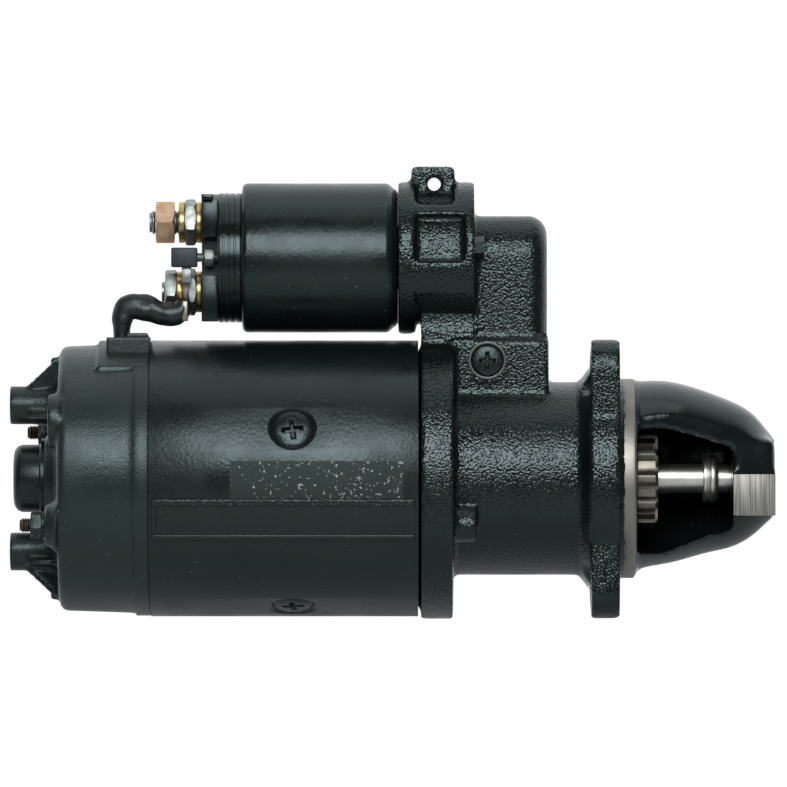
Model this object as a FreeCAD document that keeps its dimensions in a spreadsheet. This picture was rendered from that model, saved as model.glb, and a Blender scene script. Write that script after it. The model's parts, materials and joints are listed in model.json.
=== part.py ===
import FreeCAD, Part
import math
import os
import Sketcher

# A pre-engaged starter motor, in millimetres.
# The origin is on the pilot's axis, at the mounting flange's seat. +X runs along the shaft to the
# nose, +Z points from the shaft to the solenoid, and -Y is the side that the ring gear meshes on.

doc = FreeCAD.newDocument("StarterMotor")
sheet = doc.addObject("Spreadsheet::Sheet", "Sizes")


class Size:
    """A length or angle worked out from the sheet, kept as the formula that properties are bound to."""

    def __init__(self, formula):
        self.formula = str(formula)

    def __str__(self):
        return self.formula

    def __float__(self):
        return float(sheet.evalExpression(self.formula))

    def __add__(self, other):
        return Size(f"({self} + {other})")

    def __radd__(self, other):
        return Size(f"({other} + {self})")

    def __sub__(self, other):
        return Size(f"({self} - {other})")

    def __rsub__(self, other):
        return Size(f"({other} - {self})")

    def __mul__(self, other):
        return Size(f"({self} * {other})")

    def __rmul__(self, other):
        return Size(f"({other} * {self})")

    def __truediv__(self, other):
        return Size(f"({self} / {other})")

    def __rtruediv__(self, other):
        return Size(f"({other} / {self})")

    def __neg__(self):
        return Size(f"(0 - {self})")


class Sizes:
    """The driving dimensions: each is one cell of the sheet, under an alias of the same name."""

    rows = 0

    def set(self, **values):
        for name, value in values.items():
            Sizes.rows += 1
            sheet.set(f"A{Sizes.rows}", name)
            sheet.set(f"B{Sizes.rows}", str(value))
            sheet.setAlias(f"B{Sizes.rows}", name)
            setattr(self, name, Size(f"Sizes.{name}"))


size = Sizes()

# Fits: the running clearance of a shaft in its bush, the gap kept between pieces that move past
# each other, and the clearance of a bolt in its hole.
size.set(running_gap=0.05, free_gap=0.3, bolt_gap=0.3, sheet_metal=1.5)
# Mounting face, pilot and the three ears.
size.set(
    pilot_radius=41.25, pilot_length=6.6, flange_thickness=12, flange_disc_radius=46,
    flange_back_taper=4.5, ear_circle_radius=52.5, ear_radius=12, ear_hole_radius=5.5,
    ear_spot_radius=10.5, ear_spot_depth=0.8,
)
# Drive end housing, from the mounting face back to the yoke.
size.set(
    neck_radius=40, neck_wall=5.5, neck_length=56.4, drive_flange_radius=58.2,
    drive_flange_thickness=13.3, joint_gap=1.2, joint_ring_radius=53.5, spigot_length=3.5,
)
# Nose.
size.set(
    nose_length=64.4, nose_base_radius=39.4, nose_tip_radius=16.5, nose_cavity_end=46.8,
    nose_cut_depth=29, window_start=7.4, window_top=20.8, window_bottom=30.6,
    nose_pad_height=17.2, nose_pad_bottom=15.2, nose_pad_face=24,
)
# Yoke, poles and field winding.
size.set(
    yoke_radius=57.2, yoke_wall=6.7, yoke_length=110.6, pole_angle=68.5, pole_width=26,
    pole_tip_width=38, pole_tip_thickness=4, pole_front_gap=18.3, pole_back_gap=25.7, coil_width=52,
    coil_overhang=9, pole_screw_radius=5, pole_screw_head_radius=8.35, pole_screw_sink_radius=11,
    pole_screw_length=13,
)
# Commutator end shield.
size.set(
    shield_radius=55.8, shield_end_radius=54.7, shield_length=31.4, shield_ring_length=6.3,
    shield_ring_radius=56.3, shield_wall=5, shield_corner=3.5, hub_radius=17, hub_length=6.4,
    hub_spigot_radius=12.6, hub_spigot_length=8, cap_length=12.8, cap_wall=1.3,
    rear_boss_radius=7.9, rear_boss_height=20.8, rear_boss_offset=30.3, rear_thread_radius=4,
    rear_thread_depth=18, rear_rib_height=4, rear_rib_width=5, stud_boss_radius=8,
    stud_boss_height=5,
)
# Through bolts.
size.set(
    stud_radius=3, stud_circle_radius=47, stud_angle=23.6, stud_end=15.2, stud_nut_width=10,
    stud_nut_thickness=4.6, washer_thickness=1.1, stud_washer_radius=6,
    tapped_boss_length=9.4, tapped_boss_radius=7,
)
# Armature, its bearings and the commutator.
size.set(
    journal_radius=6, bush_wall=3, shaft_radius=8, core_seat_radius=9, nose_journal_radius=5.5,
    air_gap=0.8, core_radius=34, winding_overhang=15, slot_count=21, slot_radius=2.3,
    commutator_radius=19.5, commutator_length=26, bar_count=25, bar_slot=0.7,
    brush_length=17, brush_width=16, brush_thickness=8, brush_lift=4, holder_wall=1.5,
    brush_spring_turns=6,
)
# Drive: pinion, roller clutch, engagement collar.
size.set(
    pinion_teeth=11, gear_module=3.175, pinion_outer_radius=20.65, pinion_root_radius=14,
    pinion_width=16.2, pinion_hub_radius=12.5, pinion_hub_length=14, roller_radius=2.7,
    roller_count=5, clutch_radius=25.6, sleeve_radius=9.6, collar_radius=17, collar_hub_radius=11.6,
    collar_flange=2.4, collar_groove=8.6, meshing_wire=1.1, meshing_turns=7,
    stop_start=35.2, stop_width=1.8, stop_radius=9.8, snap_width=3.6,
)
# Solenoid and its mount on the housing.
size.set(
    solenoid_gap=3.3, solenoid_radius=30.9, solenoid_wall=2.5, solenoid_length=64.5,
    solenoid_chamfer=5, solenoid_front_radius=27.2, mount_radius=31.5, mount_collar=7.2,
    mount_length=24.3, mount_width=37, mount_body_radius=27.4, mount_rib=4, mount_lip_top=1.9,
    mount_lip_low=21.4, plunger_radius=13.2, plunger_travel=14.8,
    bobbin_gap=0.8, coil_wall=2, rod_radius=2.8, bridge_radius=19, bridge_thickness=2.5,
    contact_travel=3, solenoid_cap_radius=26.4, solenoid_cap_length=16.7, cap_recess_length=6.9,
    cap_recess_depth=13, cap_wall_inside=1.8,
    terminal_upper=14.7, terminal_lower=14.1, terminal_radius=5, terminal_head_radius=7.5,
    terminal_head=3.2, solenoid_screw_radius=2.5, solenoid_screw_circle=23,
)
# Lever and its tower.
size.set(
    tower_length=30.1, tower_radius=17.4, tower_wall=5, pivot_height=48.8, pivot_offset=5.3,
    pivot_radius=4, pivot_head_radius=6.5, pivot_ring_radius=8, lever_tilt=10, lever_hub_radius=7.5,
    lever_thickness=10, lever_width=7, fork_gap=0.6, fork_arm=3, pad_radius=4,
    lift_ear_hole_radius=2.85, lift_ear_height=37.8, lift_ear_length=18, lift_ear_thickness=12,
    lift_hole_height=30.5, tower_foot_width=40, tower_foot_top=57.6,
)
# Terminals, in the order they stand on the battery stud and the motor stud.
size.set(
    hex_m10=17, battery_stud_length=21.8, battery_nut_length=7.8, jam_nut_length=4.8,
    motor_stud_length=16.7, terminal_washer_radius=8.5, terminal_washer=2.4, lug_thickness=2.5,
    switch_offset=15, switch_block_length=10.8, switch_block_height=8.1,
)
# Field cable.
size.set(
    grommet_width=20, grommet_top=58.4, grommet_wall=1.2, lead_radius=3.1, lead_offset=-14.5,
    cable_sleeve_radius=5.2, cable_rise=69, cable_bend=6,
)
doc.recompute()

X = FreeCAD.Vector(1, 0, 0)
Y = FreeCAD.Vector(0, 1, 0)
Z = FreeCAD.Vector(0, 0, 1)
ALONG_X = FreeCAD.Rotation(Y, 90)
ALONG_Y = FreeCAD.Rotation(X, -90)


def cosine(angle):
    return Size(f"cos({angle})")


def sine(angle):
    return Size(f"sin({angle})")


def place(piece, x=0, y=0, z=0, rotation=None):
    """Puts a piece at formulas of the sheet."""
    if rotation is not None:
        piece.Placement = FreeCAD.Placement(FreeCAD.Vector(), rotation)
    for axis, value in (("x", x), ("y", y), ("z", z)):
        piece.setExpression(f"Placement.Base.{axis}", str(value))
    return piece


def rod(name, radius, start, end, y=0, z=0):
    """A round bar along X, between two stations."""
    bar = doc.addObject("Part::Cylinder", name)
    bar.setExpression("Radius", str(radius))
    bar.setExpression("Height", str(end - start))
    return place(bar, start, y, z, ALONG_X)


def pin(name, radius, start, end, x=0, z=0):
    """A round bar along Y, between two stations."""
    bar = doc.addObject("Part::Cylinder", name)
    bar.setExpression("Radius", str(radius))
    bar.setExpression("Height", str(end - start))
    return place(bar, x, start, z, ALONG_Y)


def block(name, x_range, y_range, z_range):
    """A rectangular block between stations on each axis."""
    box = doc.addObject("Part::Box", name)
    for side, (low, high) in zip(("Length", "Width", "Height"), (x_range, y_range, z_range)):
        box.setExpression(side, str(high - low))
    return place(box, x_range[0], y_range[0], z_range[0])


def hexagon(name, across_flats, start, end, y=0, z=0, turn=0):
    """A hexagonal bar along X."""
    prism = doc.addObject("Part::Prism", name)
    prism.Polygon = 6
    prism.setExpression("Circumradius", str(across_flats / (2 * cosine(30))))
    prism.setExpression("Height", str(end - start))
    return place(prism, start, y, z, FreeCAD.Rotation(X, turn) * ALONG_X)


def fuse(name, *pieces):
    joined = doc.addObject("Part::MultiFuse", name)
    joined.Shapes = list(pieces)
    return joined


def cut(name, base, *tools):
    remaining = doc.addObject("Part::Cut", name)
    remaining.Base = base
    remaining.Tool = tools[0] if len(tools) == 1 else fuse(name + "_tools", *tools)
    return remaining


def common(name, first, second):
    shared = doc.addObject("Part::Common", name)
    shared.Base = first
    shared.Tool = second
    return shared


def group(name, pieces):
    """Separate solids that share one node."""
    gathered = doc.addObject("Part::Compound", name)
    gathered.Links = list(pieces)
    return gathered


def origin_feature(body, role):
    return next(part for part in body.Origin.OriginFeatures if part.Role == role)


def polygon_sketch(body, plane, corners, offset=0):
    """A closed outline whose every corner is bound to formulas, on one of the body's own planes."""
    sketch = body.newObject("Sketcher::SketchObject", body.Name + "_outline")
    sketch.AttachmentSupport = (origin_feature(body, plane), "")
    sketch.MapMode = "FlatFace"
    sketch.setExpression("AttachmentOffset.Base.z", str(offset))
    values = [(float(Size(across)), float(Size(up))) for across, up in corners]
    count = len(corners)
    for i in range(count):
        start = FreeCAD.Vector(*values[i], 0)
        end = FreeCAD.Vector(*values[(i + 1) % count], 0)
        sketch.addGeometry(Part.LineSegment(start, end), False)
    for i in range(count):
        sketch.addConstraint(Sketcher.Constraint("Coincident", i, 2, (i + 1) % count, 1))
    for i in range(count):
        for kind, value, formula in zip(("DistanceX", "DistanceY"), values[i], corners[i]):
            index = sketch.addConstraint(Sketcher.Constraint(kind, -1, 1, i, 1, value))
            sketch.setExpression(f"Constraints[{index}]", str(formula))
    return sketch


def turned(name, corners):
    """A body turned about the X axis from an outline of (station, radius) corners."""
    body = doc.addObject("PartDesign::Body", name)
    turning = body.newObject("PartDesign::Revolution", name + "_turning")
    turning.Profile = polygon_sketch(body, "XZ_Plane", corners)
    turning.ReferenceAxis = (origin_feature(body, "X_Axis"), [""])
    turning.Angle = 360
    body.Tip = turning
    return body


def padded(name, plane, corners, start, end):
    """A body cut from plate: an outline on the YZ plane, or on the XZ plane, and its two faces."""
    body = doc.addObject("PartDesign::Body", name)
    pad = body.newObject("PartDesign::Pad", name + "_pad")
    # the XZ plane's normal is -Y, so its distances are counted that way
    offset = start if plane == "YZ_Plane" else -end
    pad.Profile = polygon_sketch(body, plane, corners, offset)
    pad.setExpression("Length", str(end - start))
    body.Tip = pad
    return body


def edges_along(shape, direction):
    """The names of the straight edges that run along a direction."""
    names = []
    for number, edge in enumerate(shape.Edges, 1):
        if len(edge.Vertexes) != 2 or not isinstance(edge.Curve, Part.Line):
            continue
        if abs(abs(edge.Curve.Direction.dot(direction)) - 1) < 1e-6:
            names.append(f"Edge{number}")
    return names


def circles_at(shape, station, radius):
    """The names of the round edges about the X axis at a station and radius."""
    names = []
    for number, edge in enumerate(shape.Edges, 1):
        if isinstance(edge.Curve, Part.Circle) and abs(edge.Curve.Radius - float(radius)) < 1e-4:
            if abs(edge.Curve.Center.x - float(station)) < 1e-4:
                names.append(f"Edge{number}")
    return names


def rounded(body, radius, names_of):
    """Rounds the edges of a body's tip that names_of picks."""
    doc.recompute()
    base = body.Tip
    fillet = body.newObject("PartDesign::Fillet", body.Name + "_rounding")
    fillet.Base = (base, names_of(base.Shape))
    fillet.setExpression("Radius", str(radius))
    body.Tip = fillet
    return body


def patterned(body, feature, count, name):
    """Repeats a body's feature evenly about the X axis."""
    pattern = body.newObject("PartDesign::PolarPattern", name)
    pattern.Originals = [feature]
    pattern.Axis = (origin_feature(body, "X_Axis"), [""])
    pattern.Angle = 360
    pattern.setExpression("Occurrences", str(count))
    body.Tip = pattern
    return pattern


def turned_about(piece, angle):
    """Turns a piece that was made at +Y about the X axis, towards +Z."""
    piece.Placement = FreeCAD.Placement(FreeCAD.Vector(), FreeCAD.Rotation(X, float(angle)))
    return piece


def spring(name, radius, wire, start, end, turns, y=0, z=0, rotation=ALONG_X):
    """A coil spring along X (or another way by its rotation), with its wire inside its two ends."""
    helix = doc.addObject("Part::Helix", name + "_helix")
    helix.setExpression("Radius", str(radius))
    helix.setExpression("Height", str(end - start - 2 * wire))
    helix.setExpression("Pitch", str((end - start - 2 * wire) / turns))
    helix.SegmentLength = 1
    section = doc.addObject("Part::Circle", name + "_section")
    section.setExpression("Radius", str(wire))
    place(section, radius, 0, 0, FreeCAD.Rotation(X, 90))
    coil = doc.addObject("Part::Sweep", name)
    coil.Sections = [section]
    coil.Spine = (helix, [f"Edge{turn + 1}" for turn in range(round(float(Size(turns))))])
    coil.Solid = True
    coil.Frenet = True
    if rotation is ALONG_X:
        place(coil, start + wire, y, z, rotation)
    return coil


nodes = {}


def node(name, piece):
    """Names a finished piece as one of the starter's separate parts."""
    piece.Label = name
    nodes[name] = piece
    return piece


# ---- stations along the shaft, from the mounting face backwards and forwards ----
drive_flange_front = -(size.flange_thickness + size.neck_length)
drive_flange_back = drive_flange_front - size.drive_flange_thickness
yoke_front = drive_flange_back - size.joint_gap
yoke_back = yoke_front - size.yoke_length
shield_front = yoke_back - size.shield_ring_length
shield_back = shield_front - size.shield_length
shield_inside = shield_back + size.shield_wall
hub_face = shield_back - size.hub_length
cavity_radius = size.neck_radius - size.neck_wall
yoke_bore = size.yoke_radius - size.yoke_wall
bush_radius = size.journal_radius + size.bush_wall
solenoid_height = size.yoke_radius + size.solenoid_radius + size.solenoid_gap
bobbin_radius = size.solenoid_radius - size.solenoid_wall - size.bobbin_gap
nose_bush_radius = size.nose_journal_radius + size.bush_wall
cap_inside = size.hub_spigot_radius + size.running_gap * 2
cap_tip = hub_face - size.cap_length

# The shaft's own stations.
core_front = yoke_front - size.pole_front_gap
core_back = yoke_back + size.pole_back_gap
commutator_back = shield_inside + 4
commutator_front = commutator_back + size.commutator_length
shaft_back = hub_face - size.hub_spigot_length
spline_front = -(size.pinion_hub_length + 4)
nose_bush_front = size.nose_length - 2.2
journal_front = nose_bush_front - 0.6

# Lever pivot and the way the lever drives the clutch.
pivot_x = drive_flange_front + 8.7 + size.pivot_offset
tower_front = drive_flange_front + 8.7 + size.tower_length
tower_back = drive_flange_front + 8.7
upper_arm = solenoid_height - size.pivot_height
fork_x = pivot_x - size.pivot_height * sine(size.lever_tilt)
eye_x = pivot_x + upper_arm * sine(size.lever_tilt)
mount_front = tower_back
pivot_face = size.tower_foot_width / 2 + 0.6
mount_back = mount_front - size.mount_length
collar_back = mount_back - size.mount_collar
solenoid_back = collar_back - size.solenoid_length

# Where the field lead comes up through the end shield.
grommet_back = shield_front - 11.7
lead_x = grommet_back + 6


# ---- drive end housing: one casting with the mounting flange, the nose and the lever tower ----
def make_drive_end_housing():
    turned_part = turned("housing_turning", [
        (yoke_front - size.spigot_length, cavity_radius),
        (yoke_front - size.spigot_length, yoke_bore),
        (yoke_front, yoke_bore),
        (yoke_front, size.joint_ring_radius),
        (drive_flange_back, size.joint_ring_radius),
        (drive_flange_back, size.drive_flange_radius),
        (drive_flange_front, size.drive_flange_radius),
        (drive_flange_front, size.neck_radius),
        (-size.flange_thickness - size.flange_back_taper, size.neck_radius),
        (-size.flange_thickness, size.flange_disc_radius),
        (0, size.flange_disc_radius),
        (0, size.pilot_radius),
        (size.pilot_length, size.pilot_radius),
        (size.pilot_length + 0.9, size.nose_base_radius),
        (size.pilot_length + 0.9, cavity_radius),
    ])
    # the three ears are the corners of a triangle, rounded about the bolt holes
    triangle_radius = 2 * (size.ear_circle_radius / 2 + size.ear_radius)
    ears = padded("ear_plate", "YZ_Plane", [
        (triangle_radius * cosine(120 * i), triangle_radius * sine(120 * i)) for i in range(3)
    ], -size.flange_thickness, Size(0))
    rounded(ears, size.ear_radius, lambda shape: edges_along(shape, X))

    # nose: circles whose centre drops towards the tip
    rings = []
    half_ear = size.lift_ear_thickness / 2
    for station, radius, centre in (
        (size.pilot_length + 0.4, size.nose_base_radius, 0.9),
        (Size(15), size.nose_base_radius - 1, 2.2),
        (Size(23), size.nose_base_radius - 2.1, 2.6),
        (Size(31), size.nose_base_radius - 4.2, 2.7),
        (Size(39), size.nose_base_radius - 6.6, 2.4),
        (size.nose_cavity_end, size.nose_base_radius - 9.1, 1.8),
        (size.nose_length - 9.6, size.nose_base_radius - 13.4, 1.6),
        (size.nose_length - 4.9, size.nose_base_radius - 17.7, 1.2),
        (size.nose_length, size.nose_tip_radius, 0.5),
    ):
        ring = doc.addObject("Part::Circle", "nose_ring")
        ring.setExpression("Radius", str(radius))
        rings.append(place(ring, station, 0, centre, ALONG_X))
    nose = doc.addObject("Part::Loft", "nose")
    nose.Sections = rings
    nose.Solid = True
    nose.Ruled = False

    # the tip is full on its near side, to carry the machined pad
    nose_tip_block = block("nose_tip_block", (size.nose_cavity_end, size.nose_length),
                           (-size.nose_pad_face, Size(0)), (Size(-10), size.nose_tip_radius))

    # solenoid mount, lever tower and lifting ear
    height = solenoid_height
    mount_collar = rod("mount_collar", size.mount_radius, collar_back, mount_back, 0, height)
    mount_body = rod("mount_body", size.mount_body_radius, mount_back, mount_front, 0, height)
    mount_rib = rod("mount_rib", size.mount_radius, mount_front - size.mount_rib, mount_front, 0,
                    height)
    mount_lip = common("mount_lip", rod("mount_lip_rod", size.mount_radius, mount_back, mount_front,
                                        0, height),
                       block("mount_lip_block", (mount_back, mount_front),
                             (-size.mount_radius, size.mount_radius),
                             (height - size.mount_lip_low, height - size.mount_lip_top)))
    ear_root = padded("ear_root", "YZ_Plane", [
        (-18.5, height + 21.6), (-half_ear, height + 26.6), (half_ear, height + 26.6),
        (18.5, height + 21.6), (18.5, height + 17.6), (10, height + 10), (-10, height + 10),
        (-18.5, height + 17.6),
    ], mount_back - 1, mount_front - 1)
    mount_leg = block("mount_leg", (drive_flange_back, mount_front),
                      (-size.mount_width / 2, size.mount_width / 2), (size.neck_radius / 2, height))
    tower = block("tower", (tower_back - 1, tower_front), (-size.tower_radius, size.tower_radius),
                  (size.neck_radius / 2, height))
    tower_top = rod("tower_top", size.tower_radius, tower_back - 1, tower_front, 0, height)
    tower_foot = block("tower_foot", (tower_back - 10, tower_front + 0.6),
                       (-size.tower_foot_width / 2, size.tower_foot_width / 2),
                       (size.neck_radius / 2, size.tower_foot_top))
    ear_back = mount_back - 1.8
    ear_front = ear_back + size.lift_ear_length
    ear_x = ear_back + size.lift_ear_length / 2 + 0.5
    hole_z = height + size.lift_hole_height
    lift_ear = padded("lift_ear", "XZ_Plane", [
        (ear_back, height), (ear_front, height), (ear_front, height + size.lift_ear_height),
        (ear_back, height + size.lift_ear_height),
    ], -half_ear, half_ear)
    rounded(lift_ear, 2, lambda shape: edges_along(shape, Y))
    pivot_ring = pin("pivot_ring", size.pivot_ring_radius, -pivot_face, size.tower_foot_width / 2,
                     pivot_x, size.pivot_height)
    bosses = []
    for side in (1, -1):
        bosses.append(rod(
            "tapped_boss", size.tapped_boss_radius, drive_flange_front - 1,
            drive_flange_front + size.tapped_boss_length,
            side * size.stud_circle_radius * cosine(size.stud_angle),
            side * size.stud_circle_radius * sine(size.stud_angle),
        ))
    solid = fuse("housing_solid", turned_part, ears, nose, nose_tip_block, mount_collar, mount_body,
                 mount_rib, mount_lip, mount_leg, ear_root, tower, tower_top, tower_foot, lift_ear,
                 pivot_ring, *bosses)

    # the space for the drive, its window, and the lever's room in the tower
    nose_room = doc.addObject("Part::Loft", "nose_room")
    room_rings = []
    for station, radius in (
        (size.pilot_length - 2, cavity_radius - 0.5),
        (Size(22), cavity_radius - 2.5),
        (Size(37.3), cavity_radius - 6.5),
        (size.nose_cavity_end, cavity_radius - 9),
    ):
        ring = doc.addObject("Part::Circle", "room_ring")
        ring.setExpression("Radius", str(radius))
        room_rings.append(place(ring, station, 0, 1.2, ALONG_X))
    nose_room.Sections = room_rings
    nose_room.Solid = True
    nose_room.Ruled = True
    neck_room = rod("neck_room", cavity_radius, yoke_front - size.spigot_length - 1,
                    size.pilot_length)
    window = padded("window", "XZ_Plane", [
        (size.window_start, -size.window_bottom),
        (size.window_start + 11.6, -size.window_bottom + 0.6),
        (size.window_start + 20.6, -size.window_bottom + 4.1),
        (size.window_start + 28.6, -size.window_bottom + 7.6),
        (size.nose_cavity_end, -size.window_bottom + 9.4),
        (size.nose_cavity_end, size.window_top - 8.5),
        (size.window_start + 26.6, size.window_top - 3.8),
        (size.window_start + 11.6, size.window_top),
        (size.window_start, size.window_top),
    ], Size(-60), Size(-12))
    rounded(window, 3, lambda shape: edges_along(shape, Y))
    flat = padded("near_flat", "XZ_Plane", [
        (size.window_start, -60), (size.nose_length + 2, -60),
        (size.nose_length + 2, 60), (size.window_start, 60),
    ], Size(-70), -size.nose_cut_depth)
    flat_turn = doc.addObject("Part::Feature", "near_flat_tilted")
    doc.recompute()
    flat_turn.Shape = flat.Shape.copy()
    flat_turn.Placement = FreeCAD.Placement(
        FreeCAD.Vector(), FreeCAD.Rotation(Z, math.degrees(math.atan(1 / 6))),
        FreeCAD.Vector(20, -float(size.nose_cut_depth), 0))
    nose_pad = block("nose_pad", (size.nose_cavity_end + 1.2, size.nose_length),
                     (-size.nose_pad_face, -nose_bush_radius - 1),
                     (-size.nose_pad_bottom, size.nose_pad_height - size.nose_pad_bottom))
    lever_room = block("lever_room", (tower_back - 8.3, tower_front - size.tower_wall),
                       (-size.tower_radius + size.tower_wall, size.tower_radius - size.tower_wall),
                       (size.neck_radius / 2 + 4, height))
    lever_room_top = rod("lever_room_top", size.tower_radius - size.tower_wall,
                         tower_back - 8.3, tower_front - size.tower_wall, 0, height)
    plunger_room = rod("plunger_room", size.plunger_radius + 1, collar_back - 1, tower_back, 0, height)
    pivot_hole = pin("pivot_hole", size.pivot_radius + size.running_gap,
                     -pivot_face - 1, pivot_face + 1, pivot_x, size.pivot_height)
    pivot_sink = pin("pivot_sink", size.pivot_head_radius + size.running_gap,
                     -pivot_face - 1, -pivot_face + 2.2, pivot_x, size.pivot_height)
    lift_hole = pin("lift_hole", size.lift_ear_hole_radius, -half_ear - 1, half_ear + 1,
                    ear_x, hole_z)
    holes = []
    for i in range(3):
        y = size.ear_circle_radius * cosine(120 * i)
        z = size.ear_circle_radius * sine(120 * i)
        holes.append(rod("ear_hole", size.ear_hole_radius, -size.flange_thickness - 1, Size(1), y, z))
        holes.append(rod("ear_spot", size.ear_spot_radius, -size.flange_thickness - 8,
                         -size.flange_thickness + size.ear_spot_depth, y, z))
    for side in (1, -1):
        holes.append(rod(
            "tapped_hole", size.stud_radius, yoke_front - size.spigot_length - 1,
            drive_flange_front + size.tapped_boss_length - 1.5,
            side * size.stud_circle_radius * cosine(size.stud_angle),
            side * size.stud_circle_radius * sine(size.stud_angle),
        ))
    for side in (1, -1):
        holes.append(rod(
            "solenoid_screw_hole", size.solenoid_screw_radius, collar_back - 1, mount_front + 1,
            side * size.solenoid_screw_circle, height + 4))
    bush_bore = rod("nose_bush_bore", nose_bush_radius, size.nose_cavity_end - 1, nose_bush_front)
    bored = cut("housing_bored", solid, nose_room, neck_room, window, flat_turn, lever_room,
                lever_room_top, plunger_room, pivot_hole, pivot_sink, lift_hole, bush_bore, *holes)
    node("drive_end_housing", fuse("housing_with_pad", bored, nose_pad))


def make_bushes():
    node("drive_end_bush", turned("drive_end_bush", [
        (size.nose_cavity_end, size.nose_journal_radius + size.running_gap),
        (nose_bush_front, size.nose_journal_radius + size.running_gap),
        (nose_bush_front, nose_bush_radius),
        (size.nose_cavity_end, nose_bush_radius),
    ]))
    node("commutator_end_bush", turned("commutator_end_bush", [
        (shaft_back, size.journal_radius + size.running_gap),
        (shield_inside, size.journal_radius + size.running_gap),
        (shield_inside, bush_radius),
        (shaft_back, bush_radius),
    ]))


# ---- yoke: a rolled steel tube with four pole shoes screwed in, and the field coils on them ----
pole_angles = [size.pole_angle + 90 * i for i in range(4)]


def make_yoke():
    tube = turned("yoke_tube", [
        (yoke_back, yoke_bore), (yoke_front, yoke_bore),
        (yoke_front, size.yoke_radius), (yoke_back, size.yoke_radius),
    ])
    middle = (core_front + core_back) / 2
    holes = []
    for angle in pole_angles:
        for radius, low, high in (
            (size.pole_screw_radius, yoke_bore - 5, size.yoke_radius + 5),
            (size.pole_screw_sink_radius, size.yoke_radius - 0.9, size.yoke_radius + 5),
            (size.pole_screw_head_radius, size.yoke_radius - 3, size.yoke_radius + 5),
        ):
            holes.append(radial("pole_screw_hole", radius, low, high, middle, angle))
    node("yoke", cut("yoke_cut", tube, *holes))


def radial(name, radius, low, high, x, angle):
    """A round bar along a radius, at an angle from +Y towards +Z."""
    bar = doc.addObject("Part::Cylinder", name)
    bar.setExpression("Radius", str(radius))
    bar.setExpression("Height", str(high - low))
    turn = FreeCAD.Rotation(X, float(angle)) * ALONG_Y
    return place(bar, x, low * cosine(angle), low * sine(angle), turn)


def make_poles():
    middle = (core_front + core_back) / 2
    face_radius = size.core_radius + size.air_gap
    screws = []
    for number, angle in enumerate(pole_angles, 1):
        # the shoe is made at +Y and turned to its place
        pole_range = (core_back - 1, core_front + 1)
        neck = common("pole_neck",
                      block("pole_neck_block", pole_range, (face_radius - 8, yoke_bore + 2),
                            (-size.pole_width / 2, size.pole_width / 2)),
                      turned("pole_ring", [
                          (pole_range[0], face_radius), (pole_range[1], face_radius),
                          (pole_range[1], yoke_bore), (pole_range[0], yoke_bore),
                      ]))
        tip_radius = face_radius + size.pole_tip_thickness
        tips = common("pole_tips",
                      block("pole_tips_block", pole_range, (face_radius - 12, tip_radius),
                            (-size.pole_tip_width / 2, size.pole_tip_width / 2)),
                      turned("pole_tip_ring", [
                          (pole_range[0], face_radius), (pole_range[1], face_radius),
                          (pole_range[1], tip_radius), (pole_range[0], tip_radius),
                      ]))
        shoe = cut("pole_shoe", fuse("pole_solid", neck, tips),
                   radial("pole_thread", size.pole_screw_radius,
                          size.yoke_radius - size.pole_screw_length, yoke_bore + 5, middle, Size(0)))
        node(f"pole_shoe_{number}", turned_about(shoe, angle))
        head = radial("pole_screw_head", size.pole_screw_head_radius - 0.05, size.yoke_radius - 3,
                      size.yoke_radius - 0.5, middle, angle)
        shank = radial("pole_screw_shank", size.pole_screw_radius - 0.05,
                       size.yoke_radius - size.pole_screw_length, size.yoke_radius - 2.5,
                       middle, angle)
        slots = []
        for turn in (8, 98):
            slot = doc.addObject("Part::Box", "cross_slot")
            slot.Length, slot.Width, slot.Height = 10, 1.8, 4
            around = FreeCAD.Rotation(X, float(angle) - 90) * FreeCAD.Rotation(Z, turn)
            slot.Placement = FreeCAD.Placement(
                FreeCAD.Vector(float(middle),
                               (float(size.yoke_radius) - 2.2) * math.cos(math.radians(float(angle))),
                               (float(size.yoke_radius) - 2.2) * math.sin(math.radians(float(angle)))),
                around).multiply(FreeCAD.Placement(FreeCAD.Vector(-5, -0.9, 0), FreeCAD.Rotation()))
            slots.append(slot)
        screws.append(cut("pole_screw", fuse("pole_screw_solid", head, shank), *slots))
    node("pole_screws", group("pole_screws", screws))


def make_field_winding():
    coils = []
    inner = size.core_radius + size.air_gap + size.pole_tip_thickness + 0.2
    for angle in pole_angles:
        outside = block("coil_outside",
                        (core_back - size.coil_overhang, core_front + size.coil_overhang),
                        (inner - 3, yoke_bore + 2), (-size.coil_width / 2, size.coil_width / 2))
        hole = block("coil_hole", (core_back - 1.2, core_front + 1.2), (inner - 5, yoke_bore + 3),
                     (-size.pole_width / 2 - 0.2, size.pole_width / 2 + 0.2))
        ring = turned("coil_ring", [
            (core_back - size.coil_overhang, inner), (core_front + size.coil_overhang, inner),
            (core_front + size.coil_overhang, yoke_bore - 0.1),
            (core_back - size.coil_overhang, yoke_bore - 0.1),
        ])
        coil = common("field_coil", cut("coil_frame", outside, hole), ring)
        coils.append(turned_about(coil, angle))
    # the link that joins the coils' ends, and the tail that the cable is brazed to
    link_back = core_back - size.coil_overhang
    link = turned("coil_link", [
        (link_back - 2, inner + 0.5), (link_back + 1, inner + 0.5),
        (link_back + 1, inner + 3.5), (link_back - 2, inner + 3.5),
    ])
    node("field_winding", fuse("field_winding_joined", *coils, link))


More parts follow.
